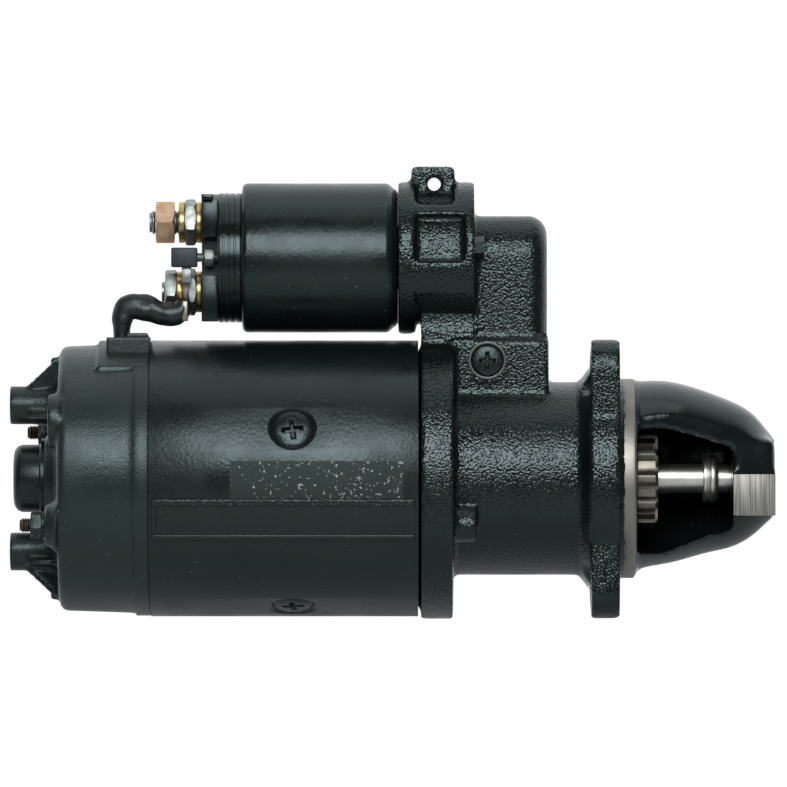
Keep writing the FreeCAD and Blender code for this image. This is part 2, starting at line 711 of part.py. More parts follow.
# ---- commutator end shield, brushes and their gear ----
def make_commutator_end_shield():
    inside_radius = size.shield_end_radius - size.shield_wall
    shell = turned("shield_turning", [
        (shield_back, bush_radius), (shield_back, size.shield_end_radius),
        (shield_front, size.shield_radius), (shield_front, size.shield_ring_radius),
        (yoke_back, size.shield_ring_radius), (yoke_back, inside_radius),
        (shield_inside, inside_radius), (shield_inside, bush_radius),
    ])
    rounded(shell, size.shield_corner,
            lambda shape: circles_at(shape, shield_back, size.shield_end_radius))
    hub = turned("shield_hub", [
        (hub_face, bush_radius), (hub_face, size.hub_radius),
        (shield_back + 1, size.hub_radius), (shield_back + 1, bush_radius),
    ])
    spigot = turned("shield_spigot", [
        (shaft_back, bush_radius), (shaft_back, size.hub_spigot_radius),
        (hub_face + 1, size.hub_spigot_radius), (hub_face + 1, bush_radius),
    ])
    pieces = [shell, hub, spigot]
    holes = []
    boss_tip = shield_back - size.rear_boss_height
    for side in (1, -1):
        offset = side * size.rear_boss_offset
        pieces.append(rod("rear_boss", size.rear_boss_radius, boss_tip, shield_back + 1, 0, offset))
        holes.append(rod("rear_thread", size.rear_thread_radius, boss_tip - 1,
                         boss_tip + size.rear_thread_depth, 0, offset))
        rib = block("rear_rib", (shield_back - size.rear_rib_height, shield_back + 1),
                    (-size.rear_rib_width / 2, size.rear_rib_width / 2),
                    (Size(0), size.shield_end_radius - size.shield_corner - 1))
        rib_turn = FreeCAD.Rotation(X, 0 if side > 0 else 180)
        rib.Placement = FreeCAD.Placement(FreeCAD.Vector(), rib_turn)
        place(rib, shield_back - size.rear_rib_height,
              -size.rear_rib_width / 2 if side > 0 else size.rear_rib_width / 2, 0)
        pieces.append(rib)
        stud_y = side * size.stud_circle_radius * cosine(size.stud_angle)
        stud_z = side * size.stud_circle_radius * sine(size.stud_angle)
        pieces.append(rod("stud_boss", size.stud_boss_radius, shield_back - size.stud_boss_height,
                          yoke_back - 3, stud_y, stud_z))
        holes.append(rod("stud_hole", size.stud_radius + size.bolt_gap, shield_back - 10,
                         yoke_back + 1, stud_y, stud_z))
        pieces.append(rod("oil_pad", Size(11), shield_back - 3.7, shield_back + 1,
                          side * -38, side * 24))
    ribbed = fuse("shield_solid", *pieces)
    shaft_hole = rod("shaft_hole", bush_radius, shaft_back - 1, shield_inside + 1)
    # a raised pad for the grommet, and the hole that the field lead comes up through
    pad_ring = turned("lead_pad_ring", [
        (grommet_back - 3.5, inside_radius), (yoke_back, inside_radius),
        (yoke_back, size.yoke_radius), (grommet_back - 3.5, size.yoke_radius),
    ])
    lead_pad = common("lead_pad", pad_ring,
                      block("lead_pad_block", (grommet_back - 4, yoke_back + 1),
                            (size.lead_offset - size.grommet_width / 2 - 9,
                             size.lead_offset + size.grommet_width / 2 + 5),
                            (Size(35), size.yoke_radius + 2)))
    lead_hole = rod("lead_hole", size.lead_radius + size.grommet_wall, Size(0), Size(40))
    place(lead_hole, lead_x, size.lead_offset, 35, FreeCAD.Rotation())
    outline = turned("shield_limit", [
        (boss_tip - 2, 0), (boss_tip - 2, size.yoke_radius),
        (yoke_back, size.yoke_radius), (yoke_back, 0),
    ])
    node("commutator_end_shield",
         common("shield_trimmed", cut("shield_cut", fuse("shield_padded", ribbed, lead_pad),
                                      shaft_hole, lead_hole, *holes), outline))


def make_bearing_cap():
    outside = cap_inside + size.cap_wall
    cap = turned("bearing_cap", [
        (cap_tip, 0), (cap_tip, outside), (hub_face - 1.6, outside), (hub_face - 1.6, outside + 2.4),
        (hub_face, outside + 2.4), (hub_face, cap_inside), (cap_tip + size.cap_wall, cap_inside),
        (cap_tip + size.cap_wall, 0),
    ])
    rounded(cap, 3, lambda shape: circles_at(shape, cap_tip, outside))
    node("bearing_cap", cap)


brush_centre = (commutator_back + commutator_front) / 2
brush_start = size.commutator_radius + 0.1
brush_end = brush_start + size.brush_length
holder_end = brush_end + size.brush_lift + 7


def make_brush_gear():
    plate = turned("brush_plate_disc", [
        (shield_inside, bush_radius + 4), (shield_inside + size.sheet_metal, bush_radius + 4),
        (shield_inside + size.sheet_metal, size.shield_end_radius - size.shield_wall - 0.2),
        (shield_inside, size.shield_end_radius - size.shield_wall - 0.2),
    ])
    notches = []
    for side in (1, -1):
        notches.append(rod("plate_notch", size.stud_boss_radius + 1, shield_inside - 1,
                           shield_inside + 5, side * size.stud_circle_radius * cosine(size.stud_angle),
                           side * size.stud_circle_radius * sine(size.stud_angle)))
    node("brush_plate", cut("brush_plate_cut", plate, *notches))

    plate_face = shield_inside + size.sheet_metal
    half_width = size.brush_width / 2
    half_thick = size.brush_thickness / 2
    gap = size.running_gap * 2
    wall = size.holder_wall
    holders = []
    for number, angle in enumerate(pole_angles, 1):
        shell = block("holder_shell", (plate_face, brush_centre + half_width + gap + wall),
                      (brush_start + 2.5, holder_end),
                      (-half_thick - gap - wall, half_thick + gap + wall))
        room = block("holder_room", (brush_centre - half_width - gap, brush_centre + half_width + gap),
                     (brush_start, holder_end - wall), (-half_thick - gap, half_thick + gap))
        holders.append(turned_about(cut("holder", shell, room), angle))
        brush = common(
            "brush_blank",
            block("brush", (brush_centre - half_width, brush_centre + half_width),
                  (brush_start - 2, brush_end), (-half_thick, half_thick)),
            turned("brush_curve", [
                (brush_centre - half_width, brush_start), (brush_centre + half_width, brush_start),
                (brush_centre + half_width, brush_end + 5), (brush_centre - half_width, brush_end + 5),
            ]))
        node(f"brush_{number}", turned_about(brush, angle))
        coil = spring(f"brush_spring_{number}", half_thick - 1, Size(0.45), brush_end,
                      holder_end - wall, size.brush_spring_turns, rotation=ALONG_Y)
        turn = FreeCAD.Rotation(X, float(angle)) * ALONG_Y
        along = brush_end + 0.45
        place(coil, brush_centre, along * cosine(angle), along * sine(angle), turn)
        node(f"brush_spring_{number}", coil)
    node("brush_holders", group("brush_holders", holders))


def make_through_bolts():
    studs, nuts, washers = [], [], []
    boss_face = shield_back - size.stud_boss_height
    for side in (1, -1):
        y = side * size.stud_circle_radius * cosine(size.stud_angle)
        z = side * size.stud_circle_radius * sine(size.stud_angle)
        studs.append(rod("through_bolt", size.stud_radius, shield_back - size.stud_end,
                         drive_flange_front + size.tapped_boss_length - 1.8, y, z))
        for name, pieces, start, end in (
            ("stud_washer", washers, boss_face - size.washer_thickness, boss_face),
            ("stud_nut", nuts, boss_face - size.washer_thickness - size.stud_nut_thickness,
             boss_face - size.washer_thickness),
        ):
            if name == "stud_washer":
                outside = rod(name + "_blank", size.stud_washer_radius, start, end, y, z)
            else:
                outside = hexagon(name + "_blank", size.stud_nut_width, start, end, y, z, 12)
            pieces.append(cut(name, outside,
                              rod(name + "_bore", size.stud_radius, start - 1, end + 1, y, z)))
    node("through_bolts", group("through_bolts", studs))
    node("through_bolt_nuts", group("through_bolt_nuts", nuts))
    node("through_bolt_washers", group("through_bolt_washers", washers))


# ---- armature ----
def make_armature():
    gap = size.running_gap
    journal = size.journal_radius
    shaft = turned("armature_shaft", [
        (shaft_back + 0.6, 0), (shaft_back + 0.6, journal), (shield_inside + 1.5, journal),
        (shield_inside + 1.5, size.shaft_radius), (commutator_front + 3, size.shaft_radius),
        (commutator_front + 3, size.core_seat_radius), (core_front + 4, size.core_seat_radius),
        (core_front + 4, size.shaft_radius), (spline_front, size.shaft_radius),
        (spline_front, journal), (size.nose_cavity_end - 1.5, journal),
        (size.nose_cavity_end - 1.5, size.nose_journal_radius),
        (journal_front, size.nose_journal_radius), (journal_front, 0),
    ])
    ring_seat = turned("ring_seat", [
        (size.stop_start + size.stop_width + 0.9, journal - 1),
        (size.stop_start + size.stop_width + 2.9, journal - 1),
        (size.stop_start + size.stop_width + 2.9, journal + 1),
        (size.stop_start + size.stop_width + 0.9, journal + 1),
    ])
    node("armature_shaft", cut("shaft_grooved", shaft, ring_seat))
    stop_end = size.stop_start + size.stop_width
    collar = turned("stop_collar", [
        (size.stop_start, journal), (size.stop_start, size.stop_radius),
        (stop_end, size.stop_radius), (stop_end, size.stop_radius - 0.5),
        (stop_end + size.snap_width + 0.9, size.stop_radius - 0.5),
        (stop_end + size.snap_width + 0.9, journal),
    ])
    wire_room = turned("snap_wire_room", [
        (stop_end + 0.9, journal - 1), (stop_end + 2.9, journal - 1),
        (stop_end + 2.9, journal + 1), (stop_end + 0.9, journal + 1),
    ])
    node("stop_ring", cut("stop_ring_cut", collar, wire_room))
    snap = turned("snap_wire", [
        (stop_end + 0.9, journal - 1), (stop_end + 2.9, journal - 1),
        (stop_end + 2.9, journal + 1), (stop_end + 0.9, journal + 1),
    ])
    split = block("snap_split", (Size(0), size.nose_length), (Size(-1.5), Size(1.5)),
                  (Size(0), size.neck_radius))
    node("snap_ring", cut("snap_ring_cut", snap, split))

    slot_depth_radius = size.core_radius - size.slot_radius - 1.2
    core = turned("armature_core", [
        (core_back, size.core_seat_radius), (core_front, size.core_seat_radius),
        (core_front, size.core_radius), (core_back, size.core_radius),
    ])
    slot = core.newObject("PartDesign::Pocket", "core_slot")
    half = size.slot_radius
    slot.Profile = polygon_sketch(core, "YZ_Plane", [
        (slot_depth_radius - half, -half), (slot_depth_radius + half, -half),
        (slot_depth_radius + half, half), (slot_depth_radius - half, half),
    ])
    slot.Type = 1
    slot.Midplane = True
    core.Tip = slot
    patterned(core, slot, size.slot_count, "core_slots")
    node("armature_core", core)

    overhang = size.winding_overhang
    ends = []
    for near, far in ((core_front, core_front + overhang), (core_back - overhang, core_back)):
        ends.append(turned("winding_end", [
            (near, size.core_seat_radius + 3), (far, size.core_seat_radius + 3),
            (far, size.core_radius - 2), (near, size.core_radius - 2),
        ]))
    bars = doc.addObject("PartDesign::Body", "winding_bars")
    bars.AllowCompound = True
    bar = bars.newObject("PartDesign::Pad", "winding_bar")
    half = size.slot_radius - 0.1
    bar.Profile = polygon_sketch(bars, "YZ_Plane", [
        (slot_depth_radius - half, -half), (slot_depth_radius + half, -half),
        (slot_depth_radius + half, half), (slot_depth_radius - half, half),
    ], core_back - 1)
    bar.setExpression("Length", str(core_front - core_back + 2))
    bars.Tip = bar
    patterned(bars, bar, size.slot_count, "winding_all_bars")
    node("armature_winding", fuse("armature_winding_joined", *ends, bars))

    commutator = turned("commutator", [
        (commutator_back, size.shaft_radius), (commutator_front, size.shaft_radius),
        (commutator_front, size.commutator_radius), (commutator_back, size.commutator_radius),
    ])
    undercut = commutator.newObject("PartDesign::Pocket", "bar_gap")
    undercut.Profile = polygon_sketch(commutator, "YZ_Plane", [
        (size.commutator_radius - 1.2, -size.bar_slot / 2), (size.commutator_radius + 1, -size.bar_slot / 2),
        (size.commutator_radius + 1, size.bar_slot / 2), (size.commutator_radius - 1.2, size.bar_slot / 2),
    ])
    undercut.Type = 1
    undercut.Midplane = True
    commutator.Tip = undercut
    patterned(commutator, undercut, size.bar_count, "bar_gaps")
    node("commutator", commutator)


# ---- drive: sleeve, roller clutch, pinion, and the collar that the lever pushes ----
sleeve_back = fork_x - 9.5
clutch_back = spline_front - 2
clutch_front = Size(-1.2)


def make_drive():
    sleeve_bore = size.shaft_radius + size.running_gap
    race_bore = size.pinion_hub_radius + size.free_gap + 2 * size.roller_radius + 0.05
    shell_bore = size.clutch_radius - size.sheet_metal
    node("clutch_sleeve", turned("clutch_sleeve", [
        (sleeve_back, sleeve_bore), (sleeve_back, size.sleeve_radius + 1.6),
        (sleeve_back + 1.8, size.sleeve_radius + 1.6), (sleeve_back + 1.8, size.sleeve_radius),
        (clutch_back, size.sleeve_radius), (clutch_back, shell_bore),
        (clutch_front - size.sheet_metal, shell_bore), (clutch_front - size.sheet_metal, race_bore),
        (spline_front + 1.5, race_bore), (spline_front + 1.5, sleeve_bore),
    ]))
    node("clutch_shell", turned("clutch_shell", [
        (clutch_back - size.sheet_metal, size.sleeve_radius + 4),
        (clutch_back - size.sheet_metal, size.clutch_radius), (clutch_front, size.clutch_radius),
        (clutch_front, size.pinion_hub_radius + size.free_gap),
        (clutch_front - size.sheet_metal, size.pinion_hub_radius + size.free_gap),
        (clutch_front - size.sheet_metal, shell_bore), (clutch_back, shell_bore),
        (clutch_back, size.sleeve_radius + 4),
    ]))
    rollers = []
    orbit = size.pinion_hub_radius + size.free_gap + size.roller_radius
    for i in range(round(float(size.roller_count))):
        angle = 360 * i / size.roller_count
        rollers.append(rod("roller", size.roller_radius, spline_front + 2.2,
                           clutch_front - size.sheet_metal - 0.6, orbit * cosine(angle),
                           orbit * sine(angle)))
    node("clutch_rollers", group("clutch_rollers", rollers))

    half_groove = size.collar_groove / 2
    collar_bore = size.sleeve_radius + size.running_gap
    node("engagement_collar", turned("engagement_collar", [
        (fork_x - half_groove - size.collar_flange, collar_bore),
        (fork_x - half_groove - size.collar_flange, size.collar_radius),
        (fork_x - half_groove, size.collar_radius), (fork_x - half_groove, size.collar_hub_radius),
        (fork_x + half_groove, size.collar_hub_radius), (fork_x + half_groove, size.collar_radius),
        (fork_x + half_groove + size.collar_flange, size.collar_radius),
        (fork_x + half_groove + size.collar_flange, collar_bore),
    ]))
    node("meshing_spring", spring(
        "meshing_spring", size.sleeve_radius + 2.6, size.meshing_wire,
        fork_x + half_groove + size.collar_flange, clutch_back - size.sheet_metal,
        size.meshing_turns))

    bore = size.journal_radius + size.running_gap
    pinion = turned("pinion", [
        (-size.pinion_hub_length, bore), (-size.pinion_hub_length, size.pinion_hub_radius),
        (Size(0), size.pinion_hub_radius), (Size(0), size.pinion_outer_radius - 1.2),
        (Size(1.2), size.pinion_outer_radius), (size.pinion_width - 1.2, size.pinion_outer_radius),
        (size.pinion_width, size.pinion_outer_radius - 1.2), (size.pinion_width, bore),
    ])
    gap = pinion.newObject("PartDesign::Pocket", "tooth_gap")
    pitch_radius = size.gear_module * size.pinion_teeth / 2
    quarter_pitch = 90 / size.pinion_teeth
    corners = []
    for radius, share in ((size.pinion_root_radius, 0.42), (pitch_radius, 0.9),
                          (pitch_radius + 1.6, 1.22), (size.pinion_outer_radius + 0.5, 1.62)):
        corners.append((radius, quarter_pitch * share))
    outline = [(radius * cosine(angle), -(radius * sine(angle))) for radius, angle in corners]
    outline += [(radius * cosine(angle), radius * sine(angle)) for radius, angle in reversed(corners)]
    gap.Profile = polygon_sketch(pinion, "YZ_Plane", outline)
    gap.setExpression("Length", str(size.pinion_width))
    gap.Reversed = True
    pinion.Tip = gap
    patterned(pinion, gap, size.pinion_teeth, "tooth_gaps")
    node("pinion", pinion)


# ---- lever ----
def make_lever():
    width = size.lever_width
    half = size.lever_thickness / 2
    hub_half = size.tower_radius - size.tower_wall - size.free_gap
    # the lever is made upright on its pivot and then leant towards the nose by its tilt
    top = upper_arm / cosine(size.lever_tilt) - 1.5
    hub = pin("lever_hub", size.lever_hub_radius, -hub_half, hub_half)
    upper = block("lever_upper", (-width / 2, width / 2), (-half, half), (Size(0), top))
    eye = pin("lever_eye", width / 2, -half, half, 0, top)
    arm_inner = size.collar_radius + size.fork_gap
    arm_outer = arm_inner + size.fork_arm
    bridge_top = -(size.pivot_height - arm_outer - 5)
    bridge_low = -(size.pivot_height - size.collar_radius - 2)
    lower = block("lever_lower", (-width / 2, width / 2), (-half, half), (bridge_low, Size(0)))
    bridge = block("lever_bridge", (-width / 2, width / 2), (-arm_outer, arm_outer),
                   (bridge_low, bridge_top))
    pad_z = -size.pivot_height / cosine(size.lever_tilt)
    pieces = [hub, upper, eye, lower, bridge]
    for side in (1, -1):
        inner, outer = side * arm_inner, side * arm_outer
        low, high = (inner, outer) if side > 0 else (outer, inner)
        pieces.append(block("fork_arm", (-width / 2, width / 2), (low, high), (pad_z, bridge_top)))
        pieces.append(pin("fork_foot", width / 2 + 0.3, low, high, 0, pad_z))
        tip = side * (size.collar_hub_radius + 0.8)
        low, high = (tip, outer) if side > 0 else (outer, tip)
        pieces.append(pin("fork_pad", size.pad_radius, low, high, 0, pad_z))
    solid = fuse("lever_solid", *pieces)
    bore = pin("lever_bore", size.pivot_radius + size.running_gap, -hub_half - 1, hub_half + 1)
    lever = cut("lever_cut", solid, bore)
    lever.Placement = FreeCAD.Placement(FreeCAD.Vector(), FreeCAD.Rotation(Y, float(size.lever_tilt)))
    lever.setExpression("Placement.Base.x", str(pivot_x))
    lever.setExpression("Placement.Base.z", str(size.pivot_height))
    node("shift_lever", lever)

    head = pin("pivot_head", size.pivot_head_radius, -pivot_face + 0.2, -pivot_face + 2.2,
               pivot_x, size.pivot_height)
    shank = pin("pivot_shank", size.pivot_radius, -pivot_face + 2, pivot_face,
                pivot_x, size.pivot_height)
    slots = []
    for length, height in ((7.4, 1.5), (1.5, 7.4)):
        slots.append(block("pivot_cross",
                           (pivot_x - length / 2, pivot_x + length / 2),
                           (-pivot_face - 2, -pivot_face + 1.6),
                           (size.pivot_height - height / 2, size.pivot_height + height / 2)))
    node("lever_pivot_bolt", cut("lever_pivot_bolt_cut", fuse("pivot_solid", head, shank), *slots))


# ---- solenoid ----
core_face = solenoid_back + 26.5
plunger_back = core_face + size.plunger_travel + 0.8


def lifted(name, corners):
    """A body turned about the solenoid's axis."""
    body = turned(name, corners)
    place(body, 0, 0, solenoid_height)
    return body


def make_solenoid():
    height = solenoid_height
    wall = size.solenoid_wall
    case = lifted("solenoid_case", [
        (solenoid_back, size.solenoid_radius - wall), (solenoid_back, size.solenoid_radius - 1),
        (solenoid_back + 1, size.solenoid_radius),
        (collar_back - size.solenoid_chamfer, size.solenoid_radius),
        (collar_back, size.solenoid_front_radius), (collar_back, size.plunger_radius + 1),
        (collar_back - 4, size.plunger_radius + 1),
        (collar_back - 4, size.solenoid_front_radius - wall),
        (collar_back - size.solenoid_chamfer - 2, size.solenoid_radius - wall),
    ])
    screw_holes = [
        rod("case_screw_hole", size.solenoid_screw_radius, collar_back - 5, collar_back + 1,
            side * size.solenoid_screw_circle, height + 4)
        for side in (1, -1)
    ]
    node("solenoid_case", cut("solenoid_case_cut", case, *screw_holes))
    core_flange = solenoid_back + 4
    node("solenoid_core", lifted("solenoid_core", [
        (solenoid_back, size.rod_radius + 0.3), (solenoid_back, size.solenoid_radius - wall),
        (core_flange, size.solenoid_radius - wall), (core_flange, size.plunger_radius),
        (core_face, size.plunger_radius), (core_face, size.rod_radius + 0.3),
    ]))
    tube = size.plunger_radius + size.free_gap
    spool = tube + size.coil_wall
    spool_back = core_flange
    spool_front = collar_back - 7.5
    node("solenoid_bobbin", lifted("solenoid_bobbin", [
        (spool_back, tube), (spool_back, bobbin_radius),
        (spool_back + size.coil_wall, bobbin_radius), (spool_back + size.coil_wall, spool),
        (spool_front - size.coil_wall, spool), (spool_front - size.coil_wall, bobbin_radius),
        (spool_front, bobbin_radius), (spool_front, tube),
    ]))
    node("solenoid_winding", lifted("solenoid_winding", [
        (spool_back + size.coil_wall, spool), (spool_back + size.coil_wall, bobbin_radius - 1),
        (spool_front - size.coil_wall, bobbin_radius - 1),
        (spool_front - size.coil_wall, spool),
    ]))

    # plunger, with its spring inside and a slot for the lever's end
    spring_room = size.rod_radius + 5.6
    spring_end = plunger_back + 13
    eye_front = eye_x + 10.5
    plunger = lifted("plunger_turning", [
        (plunger_back, spring_room), (plunger_back, size.plunger_radius),
        (collar_back + 4, size.plunger_radius), (collar_back + 4, size.plunger_radius - 4),
        (eye_front, size.plunger_radius - 4), (eye_front, 0), (spring_end, 0),
        (spring_end, spring_room),
    ])
    lever_slot = block("lever_slot", (eye_x - 5.8, eye_x + 5.6),
                       (-size.lever_thickness / 2 - 0.6, size.lever_thickness / 2 + 0.6),
                       (height - 30, height + 30))
    node("plunger", cut("plunger_cut", plunger, lever_slot))
    node("plunger_spring", spring("plunger_spring", size.rod_radius + 3.9, Size(0.8), core_face,
                                  spring_end, 8, 0, height))

    # contact set
    cap_back = solenoid_back - size.solenoid_cap_length
    recess_face = cap_back + size.cap_recess_length
    room_back = recess_face + size.cap_wall_inside
    head_front = room_back + size.free_gap
    head_back = head_front - size.terminal_head
    spring_seat = head_back - 2
    bridge_back = head_front + size.contact_travel + size.free_gap
    bridge_front = bridge_back + size.bridge_thickness
    rod_front = spring_end - size.plunger_travel + size.contact_travel - 0.5
    node("contact_rod", rod("contact_rod", size.rod_radius, bridge_back - 2, rod_front, 0, height))
    node("contact_bridge", lifted("contact_bridge", [
        (bridge_back, size.rod_radius), (bridge_front, size.rod_radius),
        (bridge_front, size.bridge_radius), (bridge_back, size.bridge_radius),
    ]))
    node("contact_spring", spring("contact_spring", size.rod_radius + 1.4, Size(0.5),
                                  spring_seat, bridge_back, 4, 0, height))

    # cap: a moulding with a recess on its near side for the switch terminal
    room_radius = size.bridge_radius + 2
    solid = lifted("cap_turning", [
        (cap_back, 0), (cap_back, size.solenoid_cap_radius - 1),
        (cap_back + 1, size.solenoid_cap_radius), (solenoid_back, size.solenoid_cap_radius),
        (solenoid_back, 0),
    ])
    upper = height + size.terminal_upper
    lower = height - size.terminal_lower
    y = -size.switch_offset
    head_room = size.terminal_head_radius + 0.3
    hollows = [
        rod("cap_room", room_radius, room_back, solenoid_back + 1, 0, height),
        rod("spring_room", size.rod_radius + 2.4, spring_seat, room_back + 1, 0, height),
        block("cap_recess", (cap_back - 1, recess_face), (-size.solenoid_cap_radius - 1,
                                                         -size.cap_recess_depth),
              (height - 40, height + 40)),
        block("switch_recess", (cap_back - 1, recess_face),
              (-size.solenoid_cap_radius - 1, y + 6), (height - 7.5, height + 8.5)),
        rod("switch_hole", Size(2), recess_face - 1, room_back + 1, y, height),
    ]
    for z in (upper, lower):
        hollows.append(rod("terminal_hole", size.terminal_radius, cap_back - 1, room_back, 0, z))
        hollows.append(rod("head_room", head_room, head_back, room_back + 1, 0, z))
    node("solenoid_cap", cut("solenoid_cap_cut", solid, *hollows))

    # battery stud and its nuts
    battery_tip = cap_back - size.battery_stud_length
    motor_tip = cap_back - size.motor_stud_length
    bolts = []
    for tip, z in ((battery_tip, upper), (motor_tip, lower)):
        bolts.append(fuse("terminal_bolt", rod("stud", size.terminal_radius, tip, head_front, 0, z),
                          rod("stud_head", size.terminal_head_radius, head_back, head_front, 0, z)))
    node("terminal_bolts", group("terminal_bolts", bolts))
    washer = size.terminal_washer
    jam_back = cap_back - washer - size.jam_nut_length
    battery_nut_front = jam_back - washer - 1.8

    def ring_on(name, blank, start, end, z):
        return cut(name, blank, rod(name + "_bore", size.terminal_radius, start - 1, end + 1, 0, z))

    def washer_on(start, z):
        blank = rod("washer_blank", size.terminal_washer_radius, start, start + washer, 0, z)
        return ring_on("washer", blank, start, start + washer, z)

    def nut_on(name, start, length, z, turn):
        blank = hexagon(name + "_blank", size.hex_m10, start, start + length, 0, z, turn)
        return ring_on(name, blank, start, start + length, z)

    lug_front = cap_back - washer - 3.2
    lug_back = lug_front - size.lug_thickness
    motor_nut_front = lug_back - washer
    node("terminal_washers", group("terminal_washers", [
        washer_on(cap_back - washer, upper), washer_on(jam_back - washer, upper),
        washer_on(lug_back - washer, lower), washer_on(cap_back - washer, lower),
    ]))
    node("battery_nut", nut_on("battery_nut",
                               battery_nut_front - size.battery_nut_length,
                               size.battery_nut_length, upper, 0))
    node("terminal_nuts", group("terminal_nuts", [
        nut_on("jam_nut", jam_back, size.jam_nut_length, upper, 18),
        nut_on("motor_nut", motor_nut_front - size.jam_nut_length, size.jam_nut_length, lower, 10),
        nut_on("motor_jam_nut", lug_front, Size(3.2), lower, 25),
    ]))
    lug_pad = rod("lug_pad", Size(8), lug_back, lug_front, 0, lower)
    lug_tail = block("lug_tail", (lug_back, lug_front),
                     (size.lead_offset - 4, Size(0)), (size.cable_rise - 4, size.cable_rise + 4.5))
    lug = fuse("lug_solid", lug_pad, lug_tail)
    node("cable_lug", ring_on("cable_lug_bored", lug, lug_back, lug_front, lower))

    # switch terminal: a moulded block, its blade and its nut
    block_start = cap_back - 1.7
    half = size.switch_block_height / 2
    moulded = block("switch_block", (block_start - size.switch_block_length, block_start),
                    (y - half, y + half), (height - half, height + half))
    switch_bore = rod("switch_bore", Size(2), block_start - size.switch_block_length - 1,
                      block_start + 1, y, height)
    blade_room = block("blade_room", (block_start - 6.5, block_start - 2.5), (y - 1, y + 1),
                       (height - 10, height))
    node("switch_insulator", cut("switch_insulator_cut", moulded, switch_bore, blade_room))
    blade = block("switch_blade", (block_start - 6.5, block_start - 2.5), (y - 1, y + 1),
                  (height - 10.5, height))
    stem = rod("switch_stem", Size(2), block_start - size.switch_block_length + 2, room_back,
               y, height)
    node("switch_nut", cut("switch_nut_cut",
                           hexagon("switch_nut_blank", Size(7), recess_face - 5.6, recess_face - 1.8,
                                   y, height),
                           rod("switch_nut_bore", Size(2), recess_face - 7, recess_face, y, height)))
    node("switch_terminal", fuse("switch_terminal_joined", stem, blade))

    screws = []
    for side in (1, -1):
        screws.append(fuse(
            "solenoid_screw",
            rod("solenoid_screw_shank", size.solenoid_screw_radius, collar_back - 3.8, mount_front,
                side * size.solenoid_screw_circle, height + 4),
            hexagon("solenoid_screw_head", Size(8), mount_front, mount_front + 4,
                    side * size.solenoid_screw_circle, height + 4)))
    node("solenoid_screws", group("solenoid_screws", screws))
    return lug_back


# ---- field cable: the lead out of the end shield, through its grommet, up to the motor terminal ----
def make_field_cable(lug_back):
    seat = rod("grommet_seat", size.yoke_radius, grommet_back - 1, yoke_back + 1)
    block_on_pad = block("grommet_block", (grommet_back, yoke_back),
                         (size.lead_offset - size.grommet_width / 2,
                          size.lead_offset + size.grommet_width / 2), (Size(45), size.grommet_top))
    neck = rod("grommet_neck", size.lead_radius + size.grommet_wall, Size(0), Size(10))
    place(neck, lead_x, size.lead_offset, 47, FreeCAD.Rotation())
    hole = rod("grommet_hole", size.lead_radius, Size(0), Size(20))
    place(hole, lead_x, size.lead_offset, 44, FreeCAD.Rotation())
    grommet = fuse("grommet_solid", cut("grommet_trimmed", block_on_pad, seat), neck)
    node("cable_grommet", cut("cable_grommet_cut", grommet, hole))

    # the lead's path: up out of the grommet, then one bend towards the lug
    bend = float(size.cable_bend)
    foot = FreeCAD.Vector(float(lead_x), float(size.lead_offset), 46)
    corner = FreeCAD.Vector(foot.x, foot.y, float(size.cable_rise))
    before = corner - Z * bend
    after = corner + X * bend
    middle = corner + (X - Z) * bend * (1 - math.sqrt(0.5))
    end = FreeCAD.Vector(float(lug_back), corner.y, corner.z)
    path = Part.Wire([
        Part.LineSegment(foot, before).toShape(),
        Part.Arc(before, middle, after).toShape(),
        Part.LineSegment(after, end).toShape(),
    ])
    section = Part.Wire([Part.makeCircle(float(size.lead_radius), foot, Z)])
    lead = path.makePipeShell([section], True, False)
    sleeve = Part.makeCylinder(float(size.cable_sleeve_radius), (end - after).Length, after, X)
    cable = doc.addObject("Part::Feature", "field_cable")
    cable.Shape = lead.fuse(sleeve)
    node("field_cable", cable)


make_drive_end_housing()
make_bushes()
make_yoke()
make_poles()
make_field_winding()
make_commutator_end_shield()
make_bearing_cap()
make_brush_gear()
make_through_bolts()
make_armature()
make_drive()
make_lever()
make_field_cable(make_solenoid())
doc.recompute()

faults = []
for item in doc.Objects:
    if "Invalid" in item.State or "Error" in item.State:
        faults.append(f"{item.Label}: {item.State}")
for name, piece in nodes.items():
    if piece.Shape.isNull() or not piece.Shape.isValid() or not piece.Shape.Solids:
        faults.append(f"{name}: its shape is empty or not valid")
if faults:
    raise SystemExit("\n".join(faults))

os.makedirs("parts", exist_ok=True)
for name, piece in nodes.items():
    piece.Shape.exportStep(f"parts/{name}.step")
print(len(nodes), "nodes written")
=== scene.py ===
import bmesh
import bpy
import json
import math
from mathutils import Matrix, Vector, noise


